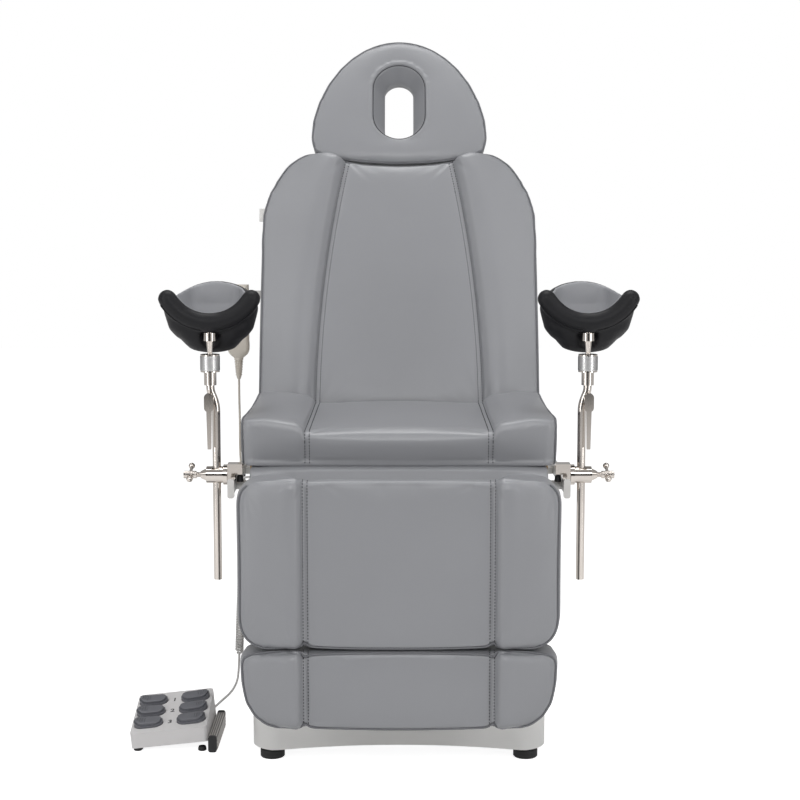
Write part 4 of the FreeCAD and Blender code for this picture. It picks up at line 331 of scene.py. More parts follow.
def soft_lamp(name, place, aim, width, height, power):
    lamp = bpy.data.objects.new(name, bpy.data.lights.new(name, "AREA"))
    lamp.data.shape = "RECTANGLE"
    lamp.data.size, lamp.data.size_y, lamp.data.energy = width, height, power
    lamp.location = place
    lamp.rotation_euler = (Vector(aim) - Vector(place)).to_track_quat("-Z", "Y").to_euler()
    scene.collection.objects.link(lamp)


white_stage()
white_world()
dark_card()
soft_lamp("key", (0.0, -3.6, 2.3), (0.0, 0.0, 0.6), 1.6, 1.0, 30)
soft_lamp("top", (0.0, 0.05, 5.0), (0.0, -0.05, 0.6), 3.0, 2.4, 96)
for side, out in (("left", -1), ("right", 1)):
    soft_lamp(side + "_high", (out * 2.3, -1.5, 2.6), (0.0, 0.0, 0.9), 0.7, 2.6, 15)
    soft_lamp(side + "_low", (out * 2.4, -2.4, 0.9), (0.0, -0.3, 0.5), 0.6, 1.6, 15)
print("stage set")

# %% [markdown]
# Two cords hang on the chair. The handset's lead is straight cable; the footswitch's is curly, so that it stretches
# when the seat rises. A cord is a smooth NURBS line through the route's points. The curls wind round such a line
# and become points of the cord's own line, so one tube runs from the control box to the footswitch.

# %% Cord tools
def mm(*numbers):
    return Vector([n / 1000 for n in numbers])


def route(name, points, steps):
    curve = bpy.data.curves.new(name, "CURVE")
    curve.dimensions = "3D"
    curve.resolution_u = steps
    line = curve.splines.new("NURBS")
    line.points.add(len(points) - 1)
    for slot, point in zip(line.points, points):
        slot.co = (*point, 1)
    line.order_u = 3
    line.use_endpoint_u = True
    return curve


def as_mesh(curve):
    holder = bpy.data.objects.new("holder", curve)
    mesh = bpy.data.meshes.new_from_object(holder)
    bpy.data.objects.remove(holder)
    return mesh


def points_on(curve):
    return [v.co.copy() for v in as_mesh(curve).vertices]


def run_length(points):
    return sum((b - a).length for a, b in zip(points, points[1:]))


def cord_piece(name, curve, diameter, finish):
    path = points_on(curve)
    curve.bevel_depth = diameter / 2
    curve.bevel_resolution = 2
    curve.use_fill_caps = True
    mesh = as_mesh(curve)
    mesh.name = name
    mesh.materials.append(finish)
    mesh.shade_smooth()
    piece = bpy.data.objects.new(name, mesh)
    scene.collection.objects.link(piece)
    return piece, path


CORD = 0.005
handset_route = [mm(*p) for p in (
    (-362, 249, 688), (-362, 249, 640), (-361, 250, 590), (-361.5, 247, 540), (-360, 244, 497), (-353, 232, 462),
    (-336, 208, 440), (-311, 176, 436), (-287, 146, 447), (-263, 118, 472), (-240, 82, 506), (-240, 52, 506))]
handset_lead, path = cord_piece("handset_lead", route("handset_lead", handset_route, 8), CORD, cream_plastic)
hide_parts("handset_cord")
run_length(path)
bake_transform(handset_lead)
print("handset lead", round(run_length(path), 3), "m")

# %% Curly footswitch cable
CURLS, CURL_RADIUS, CURL_PITCH, CURL_LEAD = 54, 7.4, 7.2, 8.0
CURL_STEPS = 14
curl_line = points_on(route("curl_line", [mm(-338.5, 85, 455), mm(-351, 126.8, 229.2), mm(-364, 203, 60)], 120))


def curl_middle(share):
    where = share * (len(curl_line) - 1)
    low = min(int(where), len(curl_line) - 2)
    start, end = curl_line[low], curl_line[low + 1]
    return start.lerp(end, where - low), (end - start).normalized()


def curl_point(turn):
    growth = min(1.0, turn, CURLS - turn)
    growth = growth * growth * (3 - 2 * growth)
    drawn = CURL_LEAD * (min(1.0, turn) + max(0.0, turn - CURLS + 1))
    middle, along = curl_middle((CURL_PITCH * turn + drawn) / (CURL_PITCH * CURLS + 2 * CURL_LEAD))
    side = (Vector((1, 0, 0)) - along * along.x).normalized()
    reach = CURL_RADIUS * growth / 1000
    angle = 2 * math.pi * turn
    return middle + side * (reach * math.cos(angle)) + along.cross(side) * (reach * math.sin(angle))


lead_in = [mm(*p) for p in ((-297, -20, 506), (-320, -20, 506), (-336, 4, 501), (-336, 60, 500), (-337, 80, 482))]
lead_out = [mm(*p) for p in (
    (-364.35, 205.05, 55.45), (-366.03, 214.88, 33.6), (-367, 206, 12), (-368, 185, 3.5), (-369.5, 150, 2.9),
    (-372, 112, 2.9), (-379, 72, 2.9), (-389, 30, 2.9), (-397, -10, 2.9), (-400, -42, 7), (-399, -67, 16),
    (-398, -96, 24), (-398, -118, 24))]
curls = [curl_point(count / CURL_STEPS) for count in range(CURLS * CURL_STEPS + 1)]
cable_line = route("footswitch_cable", lead_in + curls + lead_out, 3)
footswitch_cable, path = cord_piece("footswitch_cable", cable_line, CORD, cord_grey)
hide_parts("footswitch_coil", "footswitch_cord")
run_length(path)
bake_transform(footswitch_cable)
print("footswitch cable", round(run_length(path), 3), "m")

# %% [markdown]
# A cushion is foam in a sewn cover. Its solid is copied, given an even skin of small faces and drawn in a little;
# then the cover is blown up from inside by cloth simulation while the seams, the welt and the resting face are held,
# so each panel swells between its seams as stuffed cloth does. Modelling the swell by hand would look stiff.
# Each pad is worked on lying down: X across, Y along the pad and Z out of its padded face.

# %% Cushion tools
def show(name, mesh):
    piece = bpy.data.objects.new(name, mesh)
    scene.collection.objects.link(piece)
    return piece


def bake(piece):
    graph = bpy.context.evaluated_depsgraph_get()
    mesh = bpy.data.meshes.new_from_object(piece.evaluated_get(graph))
    piece.modifiers.clear()
    piece.data = mesh


def closed_solids(mesh):
    # A solid's faces are stored together, so it ends where no edge is left open, bar a sliver's.
    spots = [tuple(round(c, 6) for c in v.co) for v in mesh.vertices]
    solids, faces, open_edges = [], [], set()
    for face in mesh.polygons:
        ring = [spots[index] for index in face.vertices]
        for pair in zip(ring, ring[1:] + ring[:1]):
            open_edges ^= {frozenset(pair)}
        faces.append(face.index)
        if len(open_edges) < 3:
            solids.append(faces)
            faces, open_edges = [], set()
    return solids


def solid_copy(name, node, rank=0):
    source = nodes[node].data
    keep = set(closed_solids(source)[rank])
    shape = bmesh.new()
    shape.from_mesh(source)
    bmesh.ops.delete(shape, geom=[face for face in shape.faces if face.index not in keep], context="FACES")
    bmesh.ops.remove_doubles(shape, verts=shape.verts, dist=1e-5)
    mesh = bpy.data.meshes.new(name)
    shape.to_mesh(mesh)
    shape.free()
    return show(name, mesh)


def even_skin(piece, voxel, rounds):
    skin = piece.modifiers.new("skin", "REMESH")
    skin.mode, skin.voxel_size = "VOXEL", voxel
    bake(piece)
    shape = bmesh.new()
    shape.from_mesh(piece.data)
    for _ in range(rounds):
        bmesh.ops.smooth_vert(shape, verts=shape.verts, factor=0.5, use_axis_x=True, use_axis_y=True, use_axis_z=True)
    shape.to_mesh(piece.data)
    shape.free()


def draw_in(piece, held, inner, outer):
    still = set(held)
    shape = bmesh.new()
    shape.from_mesh(piece.data)
    shape.normal_update()
    for vert in shape.verts:
        vert.co -= vert.normal * (outer if vert.index in still else inner)
    shape.to_mesh(piece.data)
    shape.free()


FRAMES, PRESSURE, REACH = 20, 4.0, 0.0038


def fill(piece, held):
    group = piece.vertex_groups.new(name="held")
    group.add(held, 1.0, "REPLACE")
    cover = piece.modifiers.new("cover", "CLOTH")
    cover.settings.use_pressure = True
    cover.settings.uniform_pressure_force = PRESSURE
    cover.settings.effector_weights.gravity = 0.0
    cover.settings.vertex_group_mass = "held"
    cover.point_cache.frame_start, cover.point_cache.frame_end = 1, FRAMES
    for count in range(1, FRAMES + 1):
        scene.frame_set(count)
    graph = bpy.context.evaluated_depsgraph_get()
    swollen = [v.co.copy() for v in piece.evaluated_get(graph).data.vertices]
    piece.modifiers.clear()
    piece.vertex_groups.clear()
    scene.frame_set(1)
    for vert, goal in zip(piece.data.vertices, swollen):
        move = goal - vert.co
        if move.length > 1e-7:
            vert.co += move.normalized() * (REACH * math.tanh(move.length / REACH))


def finer(piece):
    smooth = piece.modifiers.new("smooth", "SUBSURF")
    smooth.levels = smooth.render_levels = 1
    bake(piece)


print("cushion tools ready")

# %% [markdown]
# The table of pads: the frame each lies in, its seams, the height of its resting face and of its welt.
# The seat, leg rest and footrest are sewn in three panels with straight seams; the backrest's seams lean in
# towards the neck. The seat's welts close its two ends, and the others' run round the padded face.

# %% Pads
LEAN = math.radians(22)
lying = Matrix.Identity(4)
standing = Matrix(((1, 0, 0, 0), (0, 0, 1, 0), (0, -1, 0, 0), (0, 0, 0, 1)))
leaning = Matrix(((1, 0, 0, 0), (0, math.sin(LEAN), math.cos(LEAN), 0), (0, -math.cos(LEAN), math.sin(LEAN), 0),
                  (0, 0, 0, 1))) @ Matrix.Translation((0, -0.115, -0.600))


def seat_seam(along):
    return 0.178


def leg_seam(along):
    return 0.176


def back_seam(along):
    return 0.180 - 0.064 * ((along - 0.022) / 0.599) ** 2


def ramp(value, low, high):
    share = min(1.0, max(0.0, (value - low) / (high - low)))
    return share * share * (3 - 2 * share)


def seam_drawn(spot, shift):
    # The sewn seam lies a few millimetres inside the solid's own crease.
    return math.copysign(shift, spot.x) * math.exp(-((abs(spot.x) - 0.182) / 0.05) ** 2)


def seat_shape(spot):
    across, high, front = abs(spot.x), ramp(spot.z, 0.60, 0.645), ramp(-spot.y, 0.33, 0.375)
    lift = 0.003 + 0.003 * ramp(spot.y, -0.16, 0.05) + 0.0135 * ramp(across, 0.180, 0.270)
    tuck = 0.005 * front * (1 - ramp(spot.z, 0.58, 0.615))
    recede = 0.014 * front * (1 - ramp(spot.z, 0.585, 0.648))
    return spot + Vector((-seam_drawn(spot, 0.004), recede, lift * high + tuck))


def leg_shape(spot):
    # The side panels end level with the middle one, and the top edge falls away to the rear.
    low, across = 0.260 if spot.y > 0.2585 else 0.106, abs(spot.x)
    lift = 0.006 * ramp(across, 0.168, 0.186) * (1 - ramp(across, 0.200, 0.250)) * (1 - ramp(spot.y - low, 0.0, 0.035))
    drop = 0.012 * ramp(spot.y, 0.540, 0.575) * (1 - ramp(spot.z, 0.455, 0.505)) * (1 - ramp(across, 0.185, 0.215))
    return spot + Vector((-seam_drawn(spot, 0.006), lift - drop, 0))


SHOULDER = [(-40, 0), (-15, 1), (2, 2.5), (14, 4.4), (24, 3.9), (32.4, 2.8), (41, 6.3), (53, 7.6), (65, 5.2), (78, 7),
            (90, 8.5), (105, 5), (125, 0)]


def back_shape(spot):
    # The solid's shoulder has corners; pushed out by angle, in millimetres, they become one round.
    away, along = abs(spot.x) - 0.170, spot.y - 0.470
    angle, reach = math.degrees(math.atan2(along, away)), math.hypot(along, away)
    push = 0.0
    for (low, start), (high, stop) in zip(SHOULDER, SHOULDER[1:]):
        if low <= angle < high:
            push = 0.001 * (start + (stop - start) * (angle - low) / (high - low)) * ramp(reach, 0.06, 0.125) / reach
    return spot + Vector((math.copysign(push * away, spot.x), push * along, 0))


def strip_shape(spot):
    height = 0.5337 + (spot.z - 0.5337) * 1.10
    bulge = 0.006 + 0.018 * max(0.0, 1 - ((height - 0.556) / 0.028) ** 2)
    return Vector((spot.x, spot.y - bulge * ramp(-spot.y, 0.34, 0.38), height))


def level(height):
    return (Vector((0, 0, height)), Vector((0, 0, 1)))


def end(across):
    return (Vector((across, 0, 0)), Vector((1, 0, 0)))


pads = {
    "seat": dict(node="seat_cushion", body="seat", lie=lying, seam=seat_seam, rest=0.596, voxel=0.005,
                 shape=seat_shape, roll=(0.0020, 0.014, 0.009), welts=[end(-0.2985), end(0.2985)]),
    "backrest": dict(node="backrest_cushion", body="backrest", lie=leaning, seam=back_seam, rest=-0.004, voxel=0.005,
                     shape=back_shape, roll=(0.0085, 0.028, 0.017), edge=0.3, welts=[level(0.031)]),
    "headrest": dict(node="headrest_cushion", body="headrest", lie=leaning, seam=None, rest=-0.004, voxel=0.0045,
                     hole=(0.068, 0.724, 0.783), welts=[level(0.031)]),
    "leg_rest": dict(node="legrest_cushion", body="legrest", lie=standing, seam=leg_seam, rest=0.447, voxel=0.005,
                     shape=leg_shape, roll=(0.0055, 0.017, 0.010), edge=0.2, top=0.570, welts=[level(0.507)]),
    "footrest": dict(node="footrest_cushion", body="footrest", lie=standing, seam=leg_seam, rest=0.447,
                     voxel=0.0045, shape=leg_shape, roll=(0.0055, 0.017, 0.010), edge=0.2, welts=[level(0.507)]),
    "front_strip": dict(node="front_bolster", body="seat", lie=lying, seam=None, rest=0.0, voxel=0.004,
                        shape=strip_shape, welts=[]),
}
for name, pad in pads.items():
    low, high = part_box(pad["node"])
    corners = [pad["lie"] @ Vector(c) for c in (low, high)]
    print(name, [[round(c, 3) for c in corner] for corner in corners])

# %% Fill the pads
def held_points(mesh, pad):
    held = []
    half, low, high = pad.get("hole", (0.0, 0.0, 0.0))
    for vert in mesh.vertices:
        gap = abs(abs(vert.co.x) - pad["seam"](vert.co.y)) if pad["seam"] else 1.0
        welt = min([abs((vert.co - spot).dot(way)) for spot, way in pad["welts"]] or [1.0])
        past = vert.co.y - min(high, max(low, vert.co.y))
        if vert.co.z < pad["rest"] or gap < 0.004 or welt < 0.003 or math.hypot(vert.co.x, past) < half:
            held.append(vert.index)
    return held


def make_pad(name, pad):
    piece = solid_copy(name + "_cushion_cover", pad["node"])
    piece.data.transform(pad["lie"])
    even_skin(piece, pad["voxel"], 2)
    if "shape" in pad:
        for vert in piece.data.vertices:
            vert.co = pad["shape"](vert.co)
    held = held_points(piece.data, pad)
    draw_in(piece, held, 0.002, -0.0008)
    fill(piece, held)
    finer(piece)
    return piece


for name, pad in pads.items():
    pad["piece"] = make_pad(name, pad)
    print(name, "faces", len(pad["piece"].data.polygons))

# %% [markdown]
# A sewn seam draws the cover down in a narrow valley, steep on the rolled side panel and shallow on the middle one.
# The simulation's mesh is too coarse for that, so the valley is pressed into the finer mesh afterwards.
# Two rows of thread follow each seam, one in the valley and one on the middle panel. Each stitch is a small bead
# that lies along the row, because thread that is only painted vanishes in a low light.

# %% Seams
def press_seam(pad, depth, width):
    rise, away, spread = pad["roll"]
    shape = bmesh.new()
    shape.from_mesh(pad["piece"].data)
    shape.normal_update()
    for vert in shape.verts:
        gap = abs(vert.co.x) - pad["seam"](vert.co.y)
        if vert.co.z > pad["rest"] and -0.03 < gap < 0.15:
            reach = spread if gap < away else spread * 2.8
            crest = math.exp(-((gap - away) / reach) ** 2) - math.exp(-(away / spread) ** 2)
            swell = rise * crest if gap > 0 else 0.0
            valley = depth * math.exp(-(gap / (width if gap > 0 else width * 1.6)) ** 2)
            share = pad.get("edge", 1.0)
            share += (1 - share) * ramp(vert.normal.z, 0.1, 0.7)
            vert.co += vert.normal * (swell - valley) * share
    shape.to_mesh(pad["piece"].data)
    shape.free()


def section(front, back, low, round_edge, top):
    walk = []
    for count in range(41):
        share = count / 40
        walk.append((front + round_edge, low + (top - round_edge - low) * share, 180))
    walk += [(front + round_edge, top - round_edge, 180 - 3 * count) for count in range(1, 30)]
    run = back - front - 2 * round_edge
    steps = int(run / 0.002)
    walk += [(front + round_edge + run * count / steps, top - round_edge, 90) for count in range(steps + 1)]
    walk += [(back - round_edge, top - round_edge, 90 - 3 * count) for count in range(1, 30)]
    return walk


def sewing_line(pad, tree, side, offset):
    line = []
    for along, height, degrees in section(*pad["section"]):
        out = Vector((0, math.cos(math.radians(degrees)), math.sin(math.radians(degrees))))
        spot = Vector((side * (pad["seam"](along) + offset), along, height))
        hit, normal, _, _ = tree.ray_cast(spot + out * 0.12, -out, 0.14)
        if hit and normal.dot(out) > 0.1:
            line.append((hit, normal))
    return line


def stitch(shape, spot, along, normal):
    side = normal.cross(along).normalized()
    turn = Matrix((along, side, normal)).transposed().to_4x4()
    size = Matrix.Diagonal((0.0021, 0.0010, 0.0008, 1))
    bmesh.ops.create_uvsphere(shape, u_segments=6, v_segments=4, radius=1.0,
                              matrix=Matrix.Translation(spot + normal * 0.0001) @ turn @ size)


def stitch_row(shape, line, pitch):
    travelled, count = pitch, 0
    for (start, normal), (finish, _) in zip(line, line[1:]):
        gap = (finish - start).length
        if gap > 0.01:
            continue
        travelled += gap
        if travelled >= pitch and gap > 1e-6:
            stitch(shape, start, (finish - start).normalized(), normal)
            travelled, count = travelled - pitch, count + 1
    return count


pads["seat"]["section"] = (-0.390, 0.055, 0.592, 0.030, 0.640)
pads["backrest"]["section"] = (0.022, 0.621, 0.0, 0.018, 0.034)
pads["leg_rest"]["section"] = (0.260, 0.580, 0.450, 0.018, 0.505)
pads["footrest"]["section"] = (0.106, 0.257, 0.450, 0.018, 0.505)
thread_grey = coated_cloth("thread_grey", linear(58, 59, 63), 0.55, 2400.0)


def sew(name, pad):
    press_seam(pad, 0.0042, 0.0036)
    tree = BVHTree.FromPolygons([v.co for v in pad["piece"].data.vertices],
                                [p.vertices for p in pad["piece"].data.polygons])
    shape = bmesh.new()
    count = 0
    for side in (-1, 1):
        for offset in (0.0012, -0.0076):
            count += stitch_row(shape, sewing_line(pad, tree, side, offset), 0.0060)
    mesh = bpy.data.meshes.new(name + "_stitches")
    shape.to_mesh(mesh)
    shape.free()
    mesh.materials.append(thread_grey)
    mesh.shade_smooth()
    pad["stitches"] = show(name + "_stitches", mesh)
    return count


for name, pad in pads.items():
    if pad["seam"]:
        print(name, "stitches", sew(name, pad))

# %% [markdown]
# A welt is a cord in a strip of the cover, sewn in where two panels meet. It could be traced by hand along the edge,
# but the edge has swollen with the cushion, so a plane cuts the finished cushion
# and the cut's own line becomes the welt. The strip is the cover's own grey; the welt's darker grey is painted shade
# for the shadow lines on both sides of it.

# %% Welts
def cut_loops(mesh, spot, way):
    shape = bmesh.new()
    shape.from_mesh(mesh)
    cut = bmesh.ops.bisect_plane(shape, geom=shape.verts[:] + shape.edges[:] + shape.faces[:],
                                 plane_co=spot, plane_no=way)["geom_cut"]
    follow = {}
    for edge in (e for e in cut if isinstance(e, bmesh.types.BMEdge)):
        for vert in edge.verts:
            follow.setdefault(vert, []).append(edge.other_vert(vert))
    loops, left = [], dict.fromkeys(follow)
    while left:
        loop = [left.popitem()[0]]
        while True:
            onward = [v for v in follow[loop[-1]] if v in left]
            if not onward:
                break
            del left[onward[0]]
            loop.append(onward[0])
        loops.append([v.co.copy() for v in loop])
    shape.free()
    return [loop for loop in loops if run_length(loop) > 0.25]


def eased(loop, rounds):
    for _ in range(rounds):
        count = len(loop)
        loop = [(loop[i - 1] + loop[i] * 2 + loop[(i + 1) % count]) / 4 for i in range(count)]
    return loop


def opened(loop, limit):
    # A welt that dips out of sight along a pad's top edge ends there.
    keep = [spot.y < limit for spot in loop]
    if all(keep):
        return loop, True
    start = next(i for i in range(len(loop)) if keep[i] and not keep[i - 1])
    return [spot for spot in loop[start:] + loop[:start] if spot.y < limit], False


def welt_tube(name, loops, radius, finish):
    curve = bpy.data.curves.new(name, "CURVE")
    curve.dimensions = "3D"
    curve.bevel_depth, curve.bevel_resolution = radius, 2
    for loop, closed in loops:
        line = curve.splines.new("POLY")
        line.points.add(len(loop) - 1)
        for slot, point in zip(line.points, loop):
            slot.co = (*point, 1)
        line.use_cyclic_u = closed
    mesh = as_mesh(curve)
    mesh.materials.clear()
    mesh.materials.append(finish)
    mesh.shade_smooth()
    return show(name, mesh)


def press_welt(mesh, loops, depth, width):
    near = KDTree(sum(len(loop) for loop, _ in loops))
    for count, spot in enumerate(spot for loop, _ in loops for spot in loop):
        near.insert(spot, count)
    near.balance()
    shape = bmesh.new()
    shape.from_mesh(mesh)
    shape.normal_update()
    for vert in shape.verts:
        gap = near.find(vert.co)[2]
        if gap < 4 * width:
            vert.co -= vert.normal * depth * math.exp(-(gap / width) ** 2)
    shape.to_mesh(mesh)
    shape.free()


# The welts' darker grey is painted shade: it stands in for the shadow lines along each welt.
welt_painted_shade_grey = coated_cloth("welt_painted_shade_grey", linear(118, 119, 123), 0.38, 800.0)
for name, pad in pads.items():
    loops = [eased(loop, 8)[::2] for spot, way in pad["welts"] for loop in cut_loops(pad["piece"].data, spot, way)]
    loops = [opened(loop, pad.get("top", 9.0)) for loop in loops if max(abs(spot.x) for spot in loop) > 0.1]
    if loops:
        press_welt(pad["piece"].data, loops, 0.0022, 0.0034)
        pad["welt"] = welt_tube(name + "_welt", loops, 0.0019, welt_painted_shade_grey)
        print(name, "welt", [round(run_length(loop), 3) for loop, _ in loops])
head = pads["headrest"]
rim = [(eased(loop, 6)[::2], True) for loop in cut_loops(head["piece"].data, *level(0.0405))
       if max(abs(spot.x) for spot in loop) < 0.1]
press_welt(head["piece"].data, rim, 0.0012, 0.0024)
head["rim"] = welt_tube("headrest_rim_seam", rim, 0.0008, thread_grey)
print("rim seam", [round(run_length(loop), 3) for loop, _ in rim])

# %% Stand the pads up
for name, pad in pads.items():
    home = pad["lie"].inverted()
    pad["piece"].data.materials.clear()
    pad["piece"].data.materials.append(cover_grey)
    pad["piece"].data.shade_smooth()
    for key in ("piece", "stitches", "welt", "rim"):
        if key in pad:
            pad[key].data.transform(home)
            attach(pad[key], pad["body"])
    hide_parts(pad["node"])
    print(name, "stands on", pad["body"])

# %% [markdown]
# Each knee cradle is a bowl of black foam with its own skin, and a grey lining is glued inside it.
# The solids have crisp edges that moulded foam can't hold, so both are given an even skin and rubbed smooth.

# %% Knee cradles
HOLDER_X, BEAD_RADIUS = 364, 110.5


def round_belly(piece):
    for vert in piece.data.vertices:
        away = min(1.3, abs(abs(vert.co.x) - HOLDER_X / 1000) / 0.045)
        vert.co.z += 0.008 * away * away * (1 - ramp(vert.co.z, 0.795, 0.850))


def foam_piece(name, node, rank, voxel, rounds, finish, body):
    piece = solid_copy(name, node, rank)
    even_skin(piece, voxel, rounds)
    if rank == 0:
        round_belly(piece)
    finer(piece)
    piece.data.materials.clear()
    piece.data.materials.append(finish)
    piece.data.shade_smooth()
    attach(piece, body)
    return piece


for side, sign in (("left", -1), ("right", 1)):
    node, body = side + "_knee_cradle", side + "_cradle"
    shell = foam_piece(side + "_cradle_foam", node, 0, 0.003, 5, foam_black, body)
    lining = foam_piece(side + "_cradle_lining", node, 1, 0.0025, 3, lining_grey, body)
    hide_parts(node)
    bead = []
    for count in range(61):
        angle = math.radians(-57 + 1.9 * count)
        bead.append(mm(sign * HOLDER_X + BEAD_RADIUS * math.sin(angle), -327.8, 949 - BEAD_RADIUS * math.cos(angle)))
    piping = welt_tube(side + "_cradle_piping", [(bead, False)], 0.0013, foam_black)
    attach(piping, body)
    print(side, "cradle faces", len(shell.data.polygons), len(lining.data.polygons))

# %% [markdown]
# Small hard pieces are modelled with mesh operators. A turned piece is a profile spun round its axis,
# as it would be cut on a lathe. The knurl that grips the ball is a sheet of small facets rolled into a ring:
# every other corner stands out, which gives the diamond points.

# %% Lathe and knurl
def finished(name, shape, finish, body, node=None, sharp=40):
    bmesh.ops.remove_doubles(shape, verts=shape.verts, dist=1e-6)
    bmesh.ops.recalc_face_normals(shape, faces=shape.faces)
    mesh = bpy.data.meshes.new(name)
    shape.to_mesh(mesh)
    shape.free()
    mesh.materials.append(finish)
    mesh.shade_smooth()
    mesh.set_sharp_from_angle(angle=math.radians(sharp))
    piece = show(name, mesh)
    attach(piece, body)
    if node:
        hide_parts(node)
    return piece


def turned(shape, profile, start, axis, steps=40):
    side = axis.orthogonal().normalized()
    line = [shape.verts.new(start + axis * along + side * radius) for radius, along in profile]
    edges = [shape.edges.new(pair) for pair in zip(line, line[1:])]
    bmesh.ops.spin(shape, geom=line + edges, cent=start, axis=axis, angle=2 * math.pi, steps=steps, use_merge=True)


def knurl(shape, middle, radius, low, high, around, rows, depth):
    made = bmesh.ops.create_grid(shape, x_segments=around, y_segments=rows, size=0.5)["verts"]
    for vert in made:
        column, row = round((vert.co.x + 0.5) * around), round((vert.co.y + 0.5) * rows)
        reach = radius + (depth if (column + row) % 2 and 0 < row < rows else 0.0)
        angle = 2 * math.pi * column / around
        vert.co = middle + Vector((reach * math.cos(angle), reach * math.sin(angle), low + (high - low) * row / rows))


for side, sign in (("left", -1), ("right", 1)):
    shape = bmesh.new()
    knurl(shape, mm(sign * HOLDER_X, -320, 0), 0.01845, 0.7625, 0.7915, 72, 16, 0.0007)
    finished(side + "_sleeve_knurl", shape, steel, side + "_rod", sharp=25)
    shape = bmesh.new()
    out, start = Vector((sign, 0, 0)), mm(sign * 384.9, -320, 559.5)
    ridge = [shape.verts.new(start + out * along + Vector((0, 0, radius)))
             for radius, along in ((0.0048, 0.0), (0.0054, 0.0004), (0.0048, 0.0008))]
    edges = [shape.edges.new(pair) for pair in zip(ridge, ridge[1:])]
    bmesh.ops.spin(shape, geom=ridge + edges, cent=start, axis=out, dvec=out * (0.0074 / 120),
                   angle=2 * math.pi * 5, steps=120)
    finished(side + "_screw_thread", shape, chrome, side + "_screw")
print("knurled sleeves and threads on both sides")

# %% [markdown]
# The footswitch is a wedge of pale plastic with six grey pedals. A pedal is an oval pad with a step round it,
# dished along its length, with raised ribs on the end where the foot rests. It starts as a ring of points pulled into
# an oval; insets and extrusions raise the step and the pad.

# %% Pedals
FRONT_HEIGHT, REAR_HEIGHT, DEPTH, WIDTH = 30, 62, 164, 154
SLOPE = math.atan2(REAR_HEIGHT - FRONT_HEIGHT, DEPTH)
switch_place = Matrix.Translation((-0.532, -0.304, 0.005)) @ Matrix.Rotation(math.radians(-6), 4, "Y")


def on_switch(across, row):
    along = DEPTH / 2 + (row - 1) * 47 * math.cos(SLOPE)
    spot = mm(WIDTH / 2 + across, along, FRONT_HEIGHT + along * math.tan(SLOPE))
    return switch_place @ Matrix.Translation(spot) @ Matrix.Rotation(SLOPE, 4, "X")


def pedal_shape(shape, out):
    ring = bmesh.ops.create_circle(shape, cap_ends=True, segments=48, radius=0.018)["verts"]
    for vert in ring:
        vert.co.x += 0.011 if vert.co.x > 0 else -0.011
        vert.co.z = -0.006
    face = next(iter(shape.faces))
    for rise, inset in ((0.0105, 0.0), (0.0, 0.0028), (0.0045, 0.0), (0.0012, 0.0022), (0.0, 0.006), (0.0, 0.004)):
        if rise and not inset:
            made = bmesh.ops.extrude_discrete_faces(shape, faces=[face])["faces"]
            face = made[0]
        else:
            bmesh.ops.inset_region(shape, faces=[face], thickness=inset, depth=0.0, use_even_offset=True)
        bmesh.ops.translate(shape, verts=face.verts, vec=(0, 0, rise))
    for vert in shape.verts:
        if vert.co.z > 0.004:
            lean = vert.co.x * out / 0.029
            vert.co.z += 0.0056 * max(0.0, lean) ** 2 + 0.0012 * max(0.0, -lean) ** 2
            vert.co.z -= 0.0012 * (1 - lean * lean)
    for count in range(4):
        x = out * (0.007 + 0.0048 * count)
        lean = abs(x) / 0.029
        high = 0.0090 + 0.0056 * lean ** 2 - 0.0012 * (1 - lean * lean)
        size = Matrix.Diagonal((0.0014, 0.0125 - 0.0014 * count, 0.0032, 1))
        bmesh.ops.create_uvsphere(shape, u_segments=10, v_segments=6, radius=1.0,
                                  matrix=Matrix.Translation((x, 0, high)) @ size)


for side, out in (("left", -1), ("right", 1)):
    for row in range(3):
        shape = bmesh.new()
        pedal_shape(shape, out)
        shape.transform(on_switch(out * 43, row))
        name = "pedal_%s_%d" % (side, 3 - row)
        finished(name + "_pad", shape, pedal_grey, name + "_body", name, 50)
print("six pedals")

# %% Pedal numbers
def number(text, row):
    curve = bpy.data.curves.new("number_" + text, "FONT")
    curve.body, curve.size, curve.extrude, curve.offset = text, 0.018, 0.00015, 0.0004
    curve.align_x, curve.align_y = "CENTER", "CENTER"
    mesh = as_mesh(curve)
    mesh.transform(on_switch(0, row) @ Matrix.Translation((0, 0, 0.0001)))
    mesh.materials.clear()
    mesh.materials.append(black_plastic)
    piece = show("number_" + text, mesh)
    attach(piece, "base")


for count in range(3):
    number(str(3 - count), count)
print("numbers 1 to 3")

# %% [markdown]
# A node may hold several solids of different stuff, such as the bar's end caps or the clamp's knob.
# Splitting the mesh would change it, so those solids' faces point at a second material instead.
# The bar is an extrusion with ribs along it, and the switch stands on rubber feet at its front corners.
# The bar under the ribs is coloured dark grey, so the grooves between them read dark: painted shade.

# %% Second finishes and the footswitch bar
def second_finish(node, ranks, finish):
    mesh = nodes[node].data
    mesh.materials.append(finish)
    solids = closed_solids(mesh)
    for rank in ranks:
        for index in solids[rank]:
            mesh.polygons[index].material_index = len(mesh.materials) - 1


def slab(shape, low, high, bevel):
    size = Matrix.Diagonal((*(high - low), 1))
    made = bmesh.ops.create_cube(shape, size=1.0, matrix=Matrix.Translation((low + high) / 2) @ size)["verts"]
    edges = dict.fromkeys(edge for vert in made for edge in vert.link_edges)
    bmesh.ops.bevel(shape, geom=list(edges), offset=bevel, segments=2, profile=0.5, affect="EDGES", material=-1)
